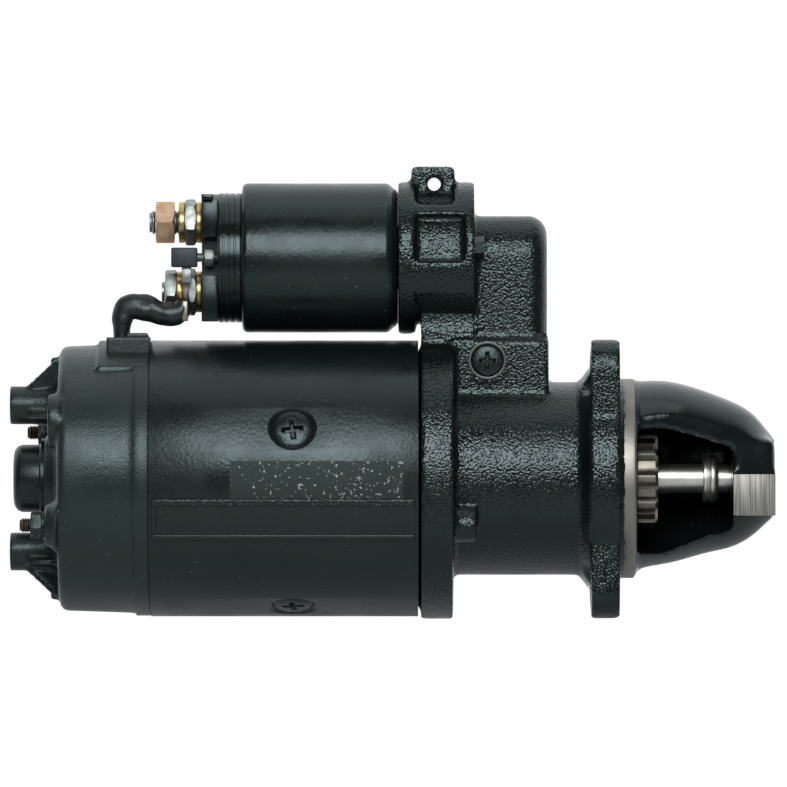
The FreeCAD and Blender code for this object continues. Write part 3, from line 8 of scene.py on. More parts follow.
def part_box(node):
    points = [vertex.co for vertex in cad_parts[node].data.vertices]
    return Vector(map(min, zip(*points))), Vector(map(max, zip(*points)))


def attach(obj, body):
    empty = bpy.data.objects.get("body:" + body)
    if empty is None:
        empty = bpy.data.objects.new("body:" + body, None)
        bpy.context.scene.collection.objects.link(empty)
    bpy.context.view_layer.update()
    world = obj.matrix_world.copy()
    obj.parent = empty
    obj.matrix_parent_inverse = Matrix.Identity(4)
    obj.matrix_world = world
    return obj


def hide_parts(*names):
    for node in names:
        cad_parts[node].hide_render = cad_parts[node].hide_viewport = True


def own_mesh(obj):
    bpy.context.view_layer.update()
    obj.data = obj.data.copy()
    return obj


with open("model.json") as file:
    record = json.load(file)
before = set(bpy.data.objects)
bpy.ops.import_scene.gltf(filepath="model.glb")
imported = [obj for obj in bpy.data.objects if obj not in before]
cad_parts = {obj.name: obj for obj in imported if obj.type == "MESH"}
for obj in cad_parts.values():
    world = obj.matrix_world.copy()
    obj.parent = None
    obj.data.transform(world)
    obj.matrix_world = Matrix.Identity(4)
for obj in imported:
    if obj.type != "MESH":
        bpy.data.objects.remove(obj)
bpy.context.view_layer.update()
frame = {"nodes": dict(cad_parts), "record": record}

# ---- Viewpoint: level with the machine, square to its near side, through a long lens ----
camera_data = bpy.data.cameras.new("camera")
camera_data.lens = 441.3
camera = bpy.data.objects.new("camera", camera_data)
camera.location = (-0.0931, -4.0, 0.0352)
camera.rotation_euler = (math.radians(90), 0, 0)
bpy.context.scene.collection.objects.link(camera)
bpy.context.scene.camera = camera
bpy.context.scene.view_settings.view_transform = "Standard"


def linear(code):
    """The linear value of a colour written as sRGB hex, such as #1a2222."""
    parts = [int(code[i:i + 2], 16) / 255 for i in (1, 3, 5)]
    return tuple(p / 12.92 if p <= 0.04045 else ((p + 0.055) / 1.055) ** 2.4 for p in parts) + (1,)


def add(tree, kind, links=None, **settings):
    """Adds a node, sets its properties, and gives its inputs a value or another node's output."""
    made = tree.nodes.new(kind)
    for name, value in settings.items():
        setattr(made, name, value)
    for name, value in (links or {}).items():
        if isinstance(value, bpy.types.NodeSocket):
            tree.links.new(value, made.inputs[name])
        else:
            made.inputs[name].default_value = value
    return made


def fresh(name):
    """A new material, with its tree, its shader and each point's place on the object."""
    material = bpy.data.materials.new(name)
    material.use_nodes = True
    tree = material.node_tree
    spot = add(tree, "ShaderNodeTexCoord").outputs["Object"]
    return material, tree, tree.nodes["Principled BSDF"], spot


# ---- Studio: a white room behind the machine and a dimmer one in front of it ----
# A softbox over twice as wide as the machine stands in front and a little above, and the pale table
# is well below. The room is bright behind, so that every round edge catches a thin pale rim.
world = bpy.data.worlds.new("studio")
bpy.context.scene.world = world
world.use_nodes = True
world.node_tree.nodes.clear()
direction = add(world.node_tree, "ShaderNodeTexCoord")
along = add(world.node_tree, "ShaderNodeSeparateXYZ", {0: direction.outputs["Generated"]})
depth = add(world.node_tree, "ShaderNodeMapRange",
            {"Value": along.outputs["Y"], "From Min": -0.1, "From Max": 0.45,
             "To Min": 0.10, "To Max": 1.0}, interpolation_type="SMOOTHSTEP")
room = add(world.node_tree, "ShaderNodeBackground", {"Color": (0.97, 1.0, 1.0, 1),
                                                      "Strength": depth.outputs[0]})
seen = add(world.node_tree, "ShaderNodeBackground", {"Color": (1, 1, 1, 1), "Strength": 1.05})
path = add(world.node_tree, "ShaderNodeLightPath")
either = add(world.node_tree, "ShaderNodeMixShader",
             {0: path.outputs["Is Camera Ray"], 1: room.outputs[0], 2: seen.outputs[0]})
add(world.node_tree, "ShaderNodeOutputWorld", {"Surface": either.outputs[0]})

middle = Vector((-0.09, 0, 0.03))
for name, place, width, height, power in (
    ("softbox", (-0.09, -1.06, 0.52), 0.80, 0.56, 9.4),
    ("overhead", (-0.09, -0.15, 1.30), 1.2, 0.8, 2.4),
):
    lamp_data = bpy.data.lights.new(name, "AREA")
    lamp_data.shape = "RECTANGLE"
    lamp_data.size, lamp_data.size_y, lamp_data.energy = width, height, power
    lamp = bpy.data.objects.new(name, lamp_data)
    lamp.location = place
    lamp.rotation_euler = (middle - Vector(place)).to_track_quat("-Z", "Y").to_euler()
    bpy.context.scene.collection.objects.link(lamp)

table = bmesh.new()
bmesh.ops.create_circle(table, cap_ends=True, segments=96, radius=0.85,
                        matrix=Matrix.Translation((-0.09, 0, -0.20)))
table_mesh = bpy.data.meshes.new("table")
table.to_mesh(table_mesh)
table.free()
floor = bpy.data.objects.new("table", table_mesh)
bpy.context.scene.collection.objects.link(floor)
pale, tree, shader, spot = fresh("matt pale grey laminate")
shader.inputs["Roughness"].default_value = 0.7
mottle = add(tree, "ShaderNodeTexNoise", {"Vector": spot, "Scale": 9.0})
tone = add(tree, "ShaderNodeMix", {0: mottle.outputs["Fac"], 6: linear("#b9bbba"),
                                   7: linear("#c4c6c5")}, data_type="RGBA")
tree.links.new(tone.outputs[2], shader.inputs["Base Color"])
floor.data.materials.append(pale)


# ---- Drive end housing: one grey iron casting, sand cast, sprayed with black enamel ----
# The lever tower, the solenoid's mount with its lifting ear, the mounting flange and the nose are
# all one piece. Sand leaves a pebbled skin under the paint, and every inside corner is filled.
MM = 0.001


def prism(outline, low, high, axis):
    """A bar of a drawn outline, in millimetres, between two stations on the axis across it."""
    spot = {"X": lambda a, b: (low, a, b), "Y": lambda a, b: (a, low, b),
            "Z": lambda a, b: (a, b, low)}[axis]
    mesh = bmesh.new()
    face = mesh.faces.new([mesh.verts.new(spot(a, b)) for a, b in outline])
    grown = bmesh.ops.extrude_face_region(mesh, geom=[face])["geom"]
    way = {"X": (1, 0, 0), "Y": (0, 1, 0), "Z": (0, 0, 1)}[axis]
    bmesh.ops.translate(mesh, vec=Vector(way) * (high - low),
                        verts=[v for v in grown if isinstance(v, bmesh.types.BMVert)])
    bmesh.ops.holes_fill(mesh, edges=mesh.edges)
    bmesh.ops.recalc_face_normals(mesh, faces=mesh.faces)
    return mesh


def block(x, y, z):
    """A rectangular bar between two stations on each axis."""
    return prism([(x[0], z[0]), (x[1], z[0]), (x[1], z[1]), (x[0], z[1])], y[0], y[1], "Y")


def turned(profile, y=0, z=0, steps=96, angle=360):
    """An outline of (station, radius) points, in millimetres, turned about an axis along X."""
    mesh = bmesh.new()
    line = [mesh.verts.new((x, 0, r)) for x, r in profile]
    edges = [mesh.edges.new(pair) for pair in zip(line, line[1:])]
    bmesh.ops.spin(mesh, geom=line + edges, cent=(0, 0, 0), axis=(1, 0, 0), steps=steps,
                   angle=math.radians(angle), use_merge=angle == 360)
    bmesh.ops.remove_doubles(mesh, verts=mesh.verts, dist=1e-4)
    bmesh.ops.holes_fill(mesh, edges=mesh.edges)
    bmesh.ops.recalc_face_normals(mesh, faces=mesh.faces)
    bmesh.ops.translate(mesh, vec=(0, y, z), verts=mesh.verts)
    return mesh


def swung(mesh, angle, axis):
    """Turns a mesh by an angle in degrees about an axis through the origin."""
    bmesh.ops.rotate(mesh, cent=(0, 0, 0), verts=mesh.verts,
                     matrix=Matrix.Rotation(math.radians(angle), 3, axis))


def corners(mesh, limit=28):
    """The edges whose two faces meet at more than a limit, in degrees."""
    return [e for e in mesh.edges
            if len(e.link_faces) == 2 and e.calc_face_angle() > math.radians(limit)]


def softened(mesh, width, segments=2):
    """Breaks every sharp edge."""
    bmesh.ops.bevel(mesh, geom=corners(mesh), offset=width, offset_type="OFFSET", affect="EDGES",
                    segments=segments, profile=0.5, material=-1, clamp_overlap=True)
    return mesh


def gathered(*meshes):
    """Several meshes in one, in the order given."""
    whole = bmesh.new()
    for mesh in meshes:
        part = bpy.data.meshes.new("part")
        mesh.to_mesh(part)
        mesh.free()
        whole.from_mesh(part)
        bpy.data.meshes.remove(part)
    return whole


def copied(node):
    """A CAD node's own mesh, merged, in millimetres."""
    mesh = bmesh.new()
    mesh.from_mesh(frame["nodes"][node].data)
    bmesh.ops.scale(mesh, vec=(1000, 1000, 1000), verts=mesh.verts)
    bmesh.ops.remove_doubles(mesh, verts=mesh.verts, dist=1e-4)
    bmesh.ops.dissolve_degenerate(mesh, dist=1e-5, edges=mesh.edges)
    return mesh


def worked(mesh, *modifiers):
    """The mesh after modifiers, each a kind and its settings; a Boolean's tool is a mesh too."""
    data = bpy.data.meshes.new("work")
    mesh.to_mesh(data)
    mesh.free()
    work = bpy.data.objects.new("work", data)
    bpy.context.scene.collection.objects.link(work)
    tools = []
    for kind, settings in modifiers:
        modifier = work.modifiers.new(kind, kind)
        for name, value in settings.items():
            if name == "object":
                tool_data = bpy.data.meshes.new("tool")
                value.to_mesh(tool_data)
                value.free()
                value = bpy.data.objects.new("tool", tool_data)
                bpy.context.scene.collection.objects.link(value)
                tools.append(value)
            setattr(modifier, name, value)
    bpy.context.view_layer.update()
    graph = bpy.context.evaluated_depsgraph_get()
    done = bpy.data.meshes.new_from_object(work.evaluated_get(graph), depsgraph=graph)
    result = bmesh.new()
    result.from_mesh(done)
    for scrap in [work] + tools:
        bpy.data.objects.remove(scrap)
    return result


def without(mesh, tool):
    """The mesh with a tool's shape taken out of it."""
    return worked(mesh, ("BOOLEAN", {"operation": "DIFFERENCE", "solver": "EXACT", "object": tool}))


def within(mesh, tool):
    """The part of the mesh that a tool's shape also holds."""
    return worked(mesh, ("BOOLEAN", {"operation": "INTERSECT", "solver": "EXACT", "object": tool}))


def cast(mesh, grain, rounds):
    """One skin over everything in the mesh, its corners rounded as a mould leaves them."""
    return worked(mesh, ("REMESH", {"mode": "VOXEL", "voxel_size": grain}),
                  ("SMOOTH", {"factor": 0.5, "iterations": rounds}))


def piece(name, mesh, body, material, slot, *replaced, sharp=40):
    """Finishes a piece: back to metres, shaded, painted, and riding on its body."""
    bmesh.ops.scale(mesh, vec=(MM, MM, MM), verts=mesh.verts)
    for face in mesh.faces:
        face.smooth = True
    for edge in mesh.edges:
        if len(edge.link_faces) == 2:
            edge.smooth = edge.calc_face_angle() < math.radians(sharp)
    data = bpy.data.meshes.new(name)
    mesh.to_mesh(data)
    mesh.free()
    made = bpy.data.objects.new(name, data)
    bpy.context.scene.collection.objects.link(made)
    data.materials.append(material)
    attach(made, body)
    if replaced:
        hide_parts(*replaced)
    return made


def black_paint(name, colour, grain, height, roughness, dust):
    """Air-drying black enamel over a surface whose grain is so wide and so high, in millimetres."""
    material, tree, shader, spot = fresh(name)
    shader.inputs["IOR"].default_value = 1.5
    shader.inputs["Specular Tint"].default_value = (0.80, 1.0, 1.03, 1)
    # uneven film: thicker and glossier in some places than in others
    film = add(tree, "ShaderNodeTexNoise", {"Vector": spot, "Scale": 42.0, "Detail": 6.0,
                                            "Roughness": 0.62})
    gloss = add(tree, "ShaderNodeMapRange", {"Value": film.outputs["Fac"], "From Min": 0.3,
                                             "From Max": 0.7, "To Min": roughness - 0.06,
                                             "To Max": roughness + 0.14})
    tree.links.new(gloss.outputs[0], shader.inputs["Roughness"])
    tone = add(tree, "ShaderNodeMix", {0: film.outputs["Fac"], 6: linear(colour),
                                       7: linear("#161e1e")}, data_type="RGBA")
    # dust and small chips, under half a millimetre across
    specks = add(tree, "ShaderNodeTexNoise", {"Vector": spot, "Scale": 900.0, "Detail": 1.0})
    pale = add(tree, "ShaderNodeMapRange", {"Value": specks.outputs["Fac"],
                                            "From Min": 0.80 - dust, "From Max": 0.84 - dust})
    dusty = add(tree, "ShaderNodeMix", {0: pale.outputs[0], 6: tone.outputs[2],
                                        7: linear("#5d6664")}, data_type="RGBA")
    tree.links.new(dusty.outputs[2], shader.inputs["Base Color"])
    # rounded pebbles, pushed out of their even spacing
    push = add(tree, "ShaderNodeTexNoise", {"Vector": spot, "Scale": 600 / grain, "Detail": 1.0})
    pushed = add(tree, "ShaderNodeMix", {0: 0.0008, 4: spot, 5: push.outputs["Color"]},
                 data_type="VECTOR")
    pebbles = add(tree, "ShaderNodeTexVoronoi", {"Vector": pushed.outputs[1], "Scale": 1000 / grain,
                                                 "Smoothness": 0.45}, feature="SMOOTH_F1")
    # the sand was finer in front of the flange
    ahead = add(tree, "ShaderNodeSeparateXYZ", {0: spot})
    share = add(tree, "ShaderNodeMapRange", {"Value": ahead.outputs["X"], "From Min": 0.0,
                                             "From Max": 0.004, "To Min": 1.0, "To Max": 0.16})
    lift = add(tree, "ShaderNodeBump", {"Height": pebbles.outputs["Distance"],
                                        "Strength": share.outputs[0],
                                        "Distance": height * MM}, invert=True)
    tree.links.new(lift.outputs["Normal"], shader.inputs["Normal"])
    return material


# the pebbles are about 1 mm across and a fifth of a millimetre high
sand_cast_paint = black_paint("black enamel over sand-cast iron", "#060808", 1.0, 0.22, 0.13, 0.03)

tower_axis, mount_back, mount_front, mount_radius = 91.4, -84.5, -60, 31.4
shoulder = turned([(-68, 24), (-68, mount_radius), (mount_front, mount_radius), (mount_front, 24),
                   (-68, 24)], z=tower_axis)
shoulder = within(shoulder, block((-70, -58), (-40, 40), (112.8, 125)))
ledge = turned([(mount_back, 24), (mount_back, mount_radius), (mount_front, mount_radius),
                (mount_front, 24), (mount_back, 24)], z=tower_axis)
ledge = within(ledge, block((-86, -58), (-40, 40), (108.9, 113.2)))
housing = cast(gathered(copied("drive_end_housing"), shoulder, ledge), 1.15, 3)
# the mount is cut back under its lip, and the nose is flush with its milled pad
undercut_radius, pad_seat = 27.6, -23.9
for v in housing.verts:
    reach = math.hypot(v.co.y, v.co.z - tower_axis)
    if -83.4 < v.co.x < -59.2 and 62 < v.co.z < 76.6 and reach > undercut_radius:
        v.co.y *= undercut_radius / reach
        v.co.z = tower_axis + (v.co.z - tower_axis) * undercut_radius / reach
    if v.co.x > 44.5 and -15.4 < v.co.z < 2.2:
        v.co.y = max(v.co.y, pad_seat)
tip = [v for v in housing.verts if v.co.x > 44 and v.co.y < -10 and 3.5 < v.co.z < 26]
for _ in range(30):
    bmesh.ops.smooth_vert(housing, verts=tip, factor=0.5, use_axis_x=True, use_axis_y=True,
                          use_axis_z=True)
# the tower's outer corners are round, with a radius of 8 mm
tower_end, half_tower, corner = -29.6, 17.4, 8.0
for v in housing.verts:
    rise = max(v.co.z - tower_axis, 0)
    reach = math.hypot(v.co.y, rise)
    along, across = v.co.x - (tower_end - corner), reach - (half_tower - corner)
    past = math.hypot(along, across)
    if v.co.z > 60 and along > 0 and across > 0 and past > corner:
        v.co.x -= along * (1 - corner / past)
        shrink = (reach - across * (1 - corner / past)) / reach
        v.co.y *= shrink
        if rise:
            v.co.z = tower_axis + rise * shrink
piece("drive_end_housing_casting", housing, "housing", sand_cast_paint, "cast_paint",
      "drive_end_housing")


def turned_steel(name, colour, roughness, line, depth, grey=0.12):
    """Bare steel with cutting or grinding lines round its axis, so far apart, in millimetres."""
    material, tree, shader, spot = fresh(name)
    shader.inputs["Metallic"].default_value = 1.0
    # the lines differ only along the axis, so the other two directions are squeezed to nothing
    squeezed = add(tree, "ShaderNodeMapping", {"Vector": spot, "Scale": (1000 / line, 14, 14)})
    lines = add(tree, "ShaderNodeTexNoise", {"Vector": squeezed.outputs[0], "Scale": 1.0,
                                             "Detail": 3.0, "Roughness": 0.7})
    stain = add(tree, "ShaderNodeTexNoise", {"Vector": spot, "Scale": 120.0, "Detail": 4.0})
    share = add(tree, "ShaderNodeMapRange", {"Value": stain.outputs["Fac"], "From Min": 0.45,
                                             "From Max": 0.75, "To Min": 0.0, "To Max": grey * 3})
    tone = add(tree, "ShaderNodeMix", {0: share.outputs[0], 6: linear(colour),
                                       7: linear("#6b6862")}, data_type="RGBA")
    tree.links.new(tone.outputs[2], shader.inputs["Base Color"])
    dull = add(tree, "ShaderNodeMapRange", {"Value": lines.outputs["Fac"],
                                            "To Min": roughness - 0.08, "To Max": roughness + 0.12})
    tree.links.new(dull.outputs[0], shader.inputs["Roughness"])
    lift = add(tree, "ShaderNodeBump", {"Height": lines.outputs["Fac"], "Strength": 1.0,
                                        "Distance": depth * MM})
    tree.links.new(lift.outputs["Normal"], shader.inputs["Normal"])
    return material


# ---- Pilot: the ring in front of the flange, turned bare to fit the flywheel housing ----
# The lathe tool leaves fine rings. It was masked when the rest was sprayed, and has dulled since.
pilot_iron = turned_steel("turned grey iron, dulled", "#93918c", 0.42, 0.5, 0.012, 0.14)
pilot = softened(turned([(0.05, 34.9), (0.05, 41.32), (6.1, 41.32), (6.9, 40.4), (6.9, 34.9),
                         (0.05, 34.9)], steps=160), 0.25)
piece("pilot_ring_face", pilot, "housing", pilot_iron, "machined_steel")

# ---- Nose pad: the near face of the nose tip, milled flat and left bare ----
# The cutter crossed it from top to bottom, so its lines stand upright.
pad_iron, tree, shader, spot = fresh("milled grey iron")
shader.inputs["Metallic"].default_value = 0.85
feed = add(tree, "ShaderNodeMapping", {"Vector": spot, "Scale": (1700, 10, 45)})
marks = add(tree, "ShaderNodeTexNoise", {"Vector": feed.outputs[0], "Scale": 1.0, "Detail": 2.0})
tone = add(tree, "ShaderNodeValToRGB", {"Fac": marks.outputs["Fac"]})
tone.color_ramp.elements[0].position, tone.color_ramp.elements[0].color = 0.33, linear("#6d6c68")
tone.color_ramp.elements[1].position, tone.color_ramp.elements[1].color = 0.62, linear("#a9a8a3")
tree.links.new(tone.outputs["Color"], shader.inputs["Base Color"])
shader.inputs["Roughness"].default_value = 0.5
lift = add(tree, "ShaderNodeBump", {"Height": marks.outputs["Fac"], "Distance": 0.03 * MM})
tree.links.new(lift.outputs["Normal"], shader.inputs["Normal"])
pad = softened(block((47.0, 64.36), (-24.12, -22.5), (-15.15, 1.95)), 0.3)
piece("nose_pad_face", pad, "housing", pad_iron, "machined_steel")

# ---- Lever pivot: a black screw sunk in a ring that the drill left bare ----
# The cross is cold formed. The ring's rim is bright where the paint has rubbed off.
pivot_x, pivot_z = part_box("lever_pivot_bolt")[0].x / MM + 6.5, 48.8
ring = softened(turned([(0, 6.75), (0, 7.9), (0.55, 7.9), (0.55, 6.75), (0, 6.75)], steps=72), 0.2)


def facing_near(mesh, x, y, z):
    """Turns a piece made along +X to face -Y, and puts its base at a point."""
    swung(mesh, -90, "Z")
    bmesh.ops.translate(mesh, vec=(x, y, z), verts=mesh.verts)
    return mesh


rubbed = turned_steel("rubbed iron rim", "#565a59", 0.4, 0.8, 0.01)
piece("pivot_ring_rim", facing_near(ring, pivot_x, -20.3, pivot_z), "housing", rubbed,
      "machined_steel")


def cross_head(radius, height, hole, width, depth, crown=0.6):
    """A round screw head along +X with a cross recess that narrows as it goes in."""
    head = turned([(-2, 0), (-2, radius * 0.8), (0, radius), (height - crown, radius),
                   (height, radius - crown * 1.4), (height, 0)], steps=64)
    for quarter_turn in (0, 90):
        wedge = block((height - depth, height + 1), (-hole / 2, hole / 2), (-width / 2, width / 2))
        low = [v for v in wedge.verts if v.co.x < height]
        bmesh.ops.scale(wedge, vec=(1, 0.3, 0.06), verts=low)
        swung(wedge, quarter_turn, "X")
        head = without(head, wedge)
    return head


screw = cross_head(6.4, 2.0, 8.2, 2.2, 3.3)
shank = turned([(-41, 0), (-41, 3.9), (0.2, 3.9), (0.2, 0)], steps=32)
screw_paint = black_paint("black enamel over steel screws", "#141a1a", 1.2, 0.06, 0.26, 0.08)
piece("lever_pivot_screw", facing_near(gathered(screw, shank), pivot_x, -18.6, pivot_z), "housing",
      screw_paint, "black_oxide", "lever_pivot_bolt")

# ---- Yoke: a steel strip rolled to a tube, welded, turned at both ends and sprayed black ----
# The film is smooth with a slight orange peel. The seam shows as a low band with a rough weld
# along its upper edge, and a worn, unreadable patch is all that is left of the old label.
smooth_paint = black_paint("smooth black enamel on steel", "#0e1516", 1.6, 0.05, 0.27, 0.03)
yoke_paint = black_paint("smooth black enamel with a worn label", "#0e1516", 1.6, 0.05, 0.27, 0.03)
tree = yoke_paint.node_tree
shader = tree.nodes["Principled BSDF"]
under = shader.inputs["Base Color"].links[0].from_socket
spot = add(tree, "ShaderNodeTexCoord").outputs["Object"]
at = add(tree, "ShaderNodeSeparateXYZ", {0: spot})
# the patch is 70.6 x 16 mm, and its edge is torn by about a millimetre
torn = add(tree, "ShaderNodeTexNoise", {"Vector": spot, "Scale": 420.0, "Detail": 3.0})
wobble = add(tree, "ShaderNodeMath", {0: torn.outputs["Fac"], 1: 0.0016}, operation="MULTIPLY")
inside = None
for axis, low, high in (("X", -0.1590, -0.0884), ("Z", -0.0077, 0.0084)):
    moved = add(tree, "ShaderNodeMath", {0: at.outputs[axis], 1: wobble.outputs[0]},
                operation="ADD")
    for edge, way in ((low, 1), (high, -1)):
        first, last = edge - way * 0.0002, edge + way * 0.0002
        step = add(tree, "ShaderNodeMapRange", {"Value": moved.outputs[0], "From Min": first,
                                                "From Max": last})
        inside = step if inside is None else add(
            tree, "ShaderNodeMath", {0: inside.outputs[0], 1: step.outputs[0]},
            operation="MULTIPLY")
near = add(tree, "ShaderNodeMath", {0: at.outputs["Y"], 1: 0.0}, operation="LESS_THAN")
patch = add(tree, "ShaderNodeMath", {0: inside.outputs[0], 1: near.outputs[0]},
            operation="MULTIPLY")
grime = add(tree, "ShaderNodeMix", {0: patch.outputs[0], 6: under, 7: linear("#222a29")},
            data_type="RGBA")
# flecks of bare metal foil, half a millimetre to two across, denser towards the nose
fleck = add(tree, "ShaderNodeTexNoise", {"Vector": spot, "Scale": 780.0, "Detail": 2.0,
                                         "Roughness": 0.6})
drift = add(tree, "ShaderNodeMapRange", {"Value": at.outputs["X"], "From Min": -0.159,
                                         "From Max": -0.088, "To Min": 0.67, "To Max": 0.63})
left = add(tree, "ShaderNodeMath", {0: fleck.outputs["Fac"], 1: drift.outputs[0]},
           operation="GREATER_THAN")
shown = add(tree, "ShaderNodeMath", {0: left.outputs[0], 1: patch.outputs[0]}, operation="MULTIPLY")
foil = add(tree, "ShaderNodeMix", {0: shown.outputs[0], 6: grime.outputs[2],
                                   7: linear("#a3a8a2")}, data_type="RGBA")
tree.links.new(foil.outputs[2], shader.inputs["Base Color"])
film_gloss = shader.inputs["Roughness"].links[0].from_socket
dull = add(tree, "ShaderNodeMix", {0: patch.outputs[0], 2: film_gloss, 3: 0.62})
tree.links.new(dull.outputs[0], shader.inputs["Roughness"])

yoke_front, yoke_back, yoke_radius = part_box("yoke")[1].x / MM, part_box("yoke")[0].x / MM, 57.2
tube = turned([(yoke_back, 50.5), (yoke_back, yoke_radius), (yoke_front, yoke_radius),
               (yoke_front, 50.5), (yoke_back, 50.5)], steps=192)
screw_x, pole_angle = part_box("pole_screws")[0].x / MM + 8.3, 68.5
sinks = []
for turn in range(4):
    sink = turned([(40, 0), (40, 8.4), (55.6, 8.4), (58.2, 11.3), (60, 11.3), (60, 0)], steps=64)
    swung(sink, 90, "Z")
    swung(sink, pole_angle + 90 * turn, "X")
    bmesh.ops.translate(sink, vec=(screw_x, 0, 0), verts=sink.verts)
    sinks.append(sink)
tube = without(tube, gathered(*sinks))
piece("yoke_tube", softened(tube, 0.4), "housing", yoke_paint, "enamel", "yoke")


def strip(low, high, top, bottom, proud, steps):
    """A strip on the yoke's near side, between two heights above the middle, so far proud."""
    first, last = (math.degrees(math.asin(-height / yoke_radius)) for height in (top, bottom))
    mesh = turned([(low, 56.4), (low, yoke_radius + proud), (high, yoke_radius + proud),
                   (high, 56.4), (low, 56.4)], steps=steps, angle=last - first)
    swung(mesh, 90 + first, "X")
    return mesh


# the seam band lies 9 to 24 mm below the middle, half a millimetre proud, its edges twice that
band = gathered(softened(strip(-192.3, -84.2, -9.3, -24.2, 0.45, 10), 0.3),
                softened(strip(-192.4, -84.1, -22.4, -24.8, 1.0, 2), 0.8, 4),
                softened(strip(-192.4, -190.2, -9.0, -24.6, 0.9, 10), 0.7, 4))
piece("yoke_seam_band", band, "housing", smooth_paint, "enamel")
weld = softened(strip(-192.0, -84.4, -7.9, -10.9, 1.1, 4), 0.8, 4)
bmesh.ops.subdivide_edges(weld, cuts=150, use_grid_fill=True,
                          edges=[e for e in weld.edges
                                 if abs(e.verts[0].co.x - e.verts[1].co.x) > 50])
for v in weld.verts:
    bead = noise.noise(Vector((v.co.x * 0.9, 0, v.co.z * 0.7)))
    if math.hypot(v.co.y, v.co.z) > 57:
        v.co.y -= 0.3 * bead
    v.co.z += 0.45 * noise.noise(Vector((v.co.x * 0.5, 7, 0)))
rough_paint = black_paint("black enamel over a weld", "#161d1d", 0.9, 0.16, 0.22, 0.12)
piece("yoke_weld_seam", weld, "housing", rough_paint, "enamel")

# ---- Pole screws: countersunk steel screws driven from outside, painted over with the yoke ----
heads = []
for turn in range(4):
    head = cross_head(8.25, 2.6, 10.8, 2.9, 3.9, 0.9)
    shank = turned([(-11, 0), (-11, 4.9), (0.2, 4.9), (0.2, 0)], steps=32)
    head = gathered(head, shank)
    swung(head, 8, "X")
    swung(head, 90, "Z")
    bmesh.ops.translate(head, vec=(0, 53.9, 0), verts=head.verts)
    swung(head, pole_angle + 90 * turn, "X")
    bmesh.ops.translate(head, vec=(screw_x, 0, 0), verts=head.verts)
    heads.append(head)
piece("pole_screw_heads", gathered(*heads), "housing", screw_paint, "black_oxide", "pole_screws")

# ---- Commutator end shield: an iron casting with two threaded bosses for the rear bracket ----
# Each boss is tied to the rim by a pair of gussets and a short web on either side. The skin is
# finer than the housing's, and the same black enamel lies smooth on it.
boss_height, bolt_y, bolt_z, shield_face = 30.3, 43.07, 18.82, -230.9
shield = copied("commutator_end_shield")
gussets = []
for side in (1, -1):
    for lean in (-24, 24):
        gusset = prism([(-246.2, 34.5), (-246.2, 37.4), (-233.2, 50.6), (-230.8, 51.2),
                        (-230.8, 34.5)], -1.5, 1.5, "Y")
        bmesh.ops.rotate(gusset, cent=(0, 0, boss_height), verts=gusset.verts,
                         matrix=Matrix.Rotation(math.radians(lean), 3, "X"))
        if side < 0:
            swung(gusset, 180, "X")
        gussets.append(gusset)
    web_z = side * boss_height - 4.2
    for near in (1, -1):
        web = [(-245.4, near * 6.5), (-234, near * 19), (-230.8, near * 19), (-230.8, near * 4),
               (-245.4, near * 4)]
        gussets.append(prism(web, web_z - 1.2, web_z + 1.2, "Z"))
    # the boss flares a little towards its foot
    gussets.append(turned([(-243, 0), (-243, 7.9), (-236, 8.6), (-232.4, 10.2), (shield_face, 12.5),
                           (shield_face, 0)], z=side * boss_height, steps=64))
    gussets.append(turned([(-236.2, 0), (-236.2, 8.3), (-233.4, 9.4), (shield_face, 12),
                           (shield_face, 0)], y=side * bolt_y, z=side * bolt_z, steps=64))
hub_foot = turned([(-237.0, 12.9), (-237.0, 17.3), (-232.6, 20.5), (shield_face, 25),
                   (shield_face, 12.9), (-237.0, 12.9)], steps=96)
rear_holes = [turned([(-253, 0), (-253, 3.4), (-235, 3.4), (-235, 0)], z=side * boss_height,
                     steps=40) for side in (1, -1)]
rear_holes += [turned([(-240, 0), (-240, 3.4), (-192, 3.4), (-192, 0)], y=side * bolt_y,
                      z=side * bolt_z, steps=32) for side in (1, -1)]
blank = cast(gathered(shield, hub_foot, *gussets), 0.95, 3)
shield_paint = black_paint("black enamel over a fine casting", "#232d2d", 0.9, 0.06, 0.3, 0.05)
piece("commutator_end_shield_casting", without(blank, gathered(*rear_holes)), "housing",
      shield_paint, "cast_paint", "commutator_end_shield")

rim_back, rim_front = -199.7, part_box("yoke")[0].x / MM - 0.15
rim = turned([(rim_back, 55.0), (rim_back, 56.9), (rim_front, 56.9), (rim_front, 55.0),
              (rim_back, 55.0)], steps=160)
piece("commutator_end_shield_rim", softened(rim, 0.4), "housing", shield_paint, "enamel")

# ---- Bearing cap: a drawn steel cup pressed over the shaft's end, painted ----
cap_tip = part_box("bearing_cap")[0].x / MM
cup = turned([(cap_tip, 0), (cap_tip, 10.2), (cap_tip + 0.5, 11.9), (cap_tip + 1.7, 13.3),
              (cap_tip + 3.4, 13.95), (-239.6, 14.05), (-239.1, 14.5), (-238.9, 16.35),
              (-237.65, 16.35), (-237.65, 12.8), (-249, 12.6), (-249.2, 0)], steps=96)
piece("bearing_cap_cup", cup, "housing", smooth_paint, "enamel", "bearing_cap")


# ---- Through bolts: two long studs that clamp the machine, their threads rusted brown ----
def thread(radius, low, high, pitch, deep, chamfer=0.8):
    """The outline of a threaded bar between two stations, as rings a pitch apart."""
    count = int((high - low - 2 * chamfer) / pitch)
    outline = [(low, 0), (low, radius - chamfer)]
    for i in range(count + 1):
        base = low + chamfer + i * pitch
        outline += [(base, radius - deep), (base + pitch * 0.42, radius),
                    (base + pitch * 0.58, radius)]
    return outline + [(high - 0.05, radius - deep), (high, radius - deep), (high, 0)]


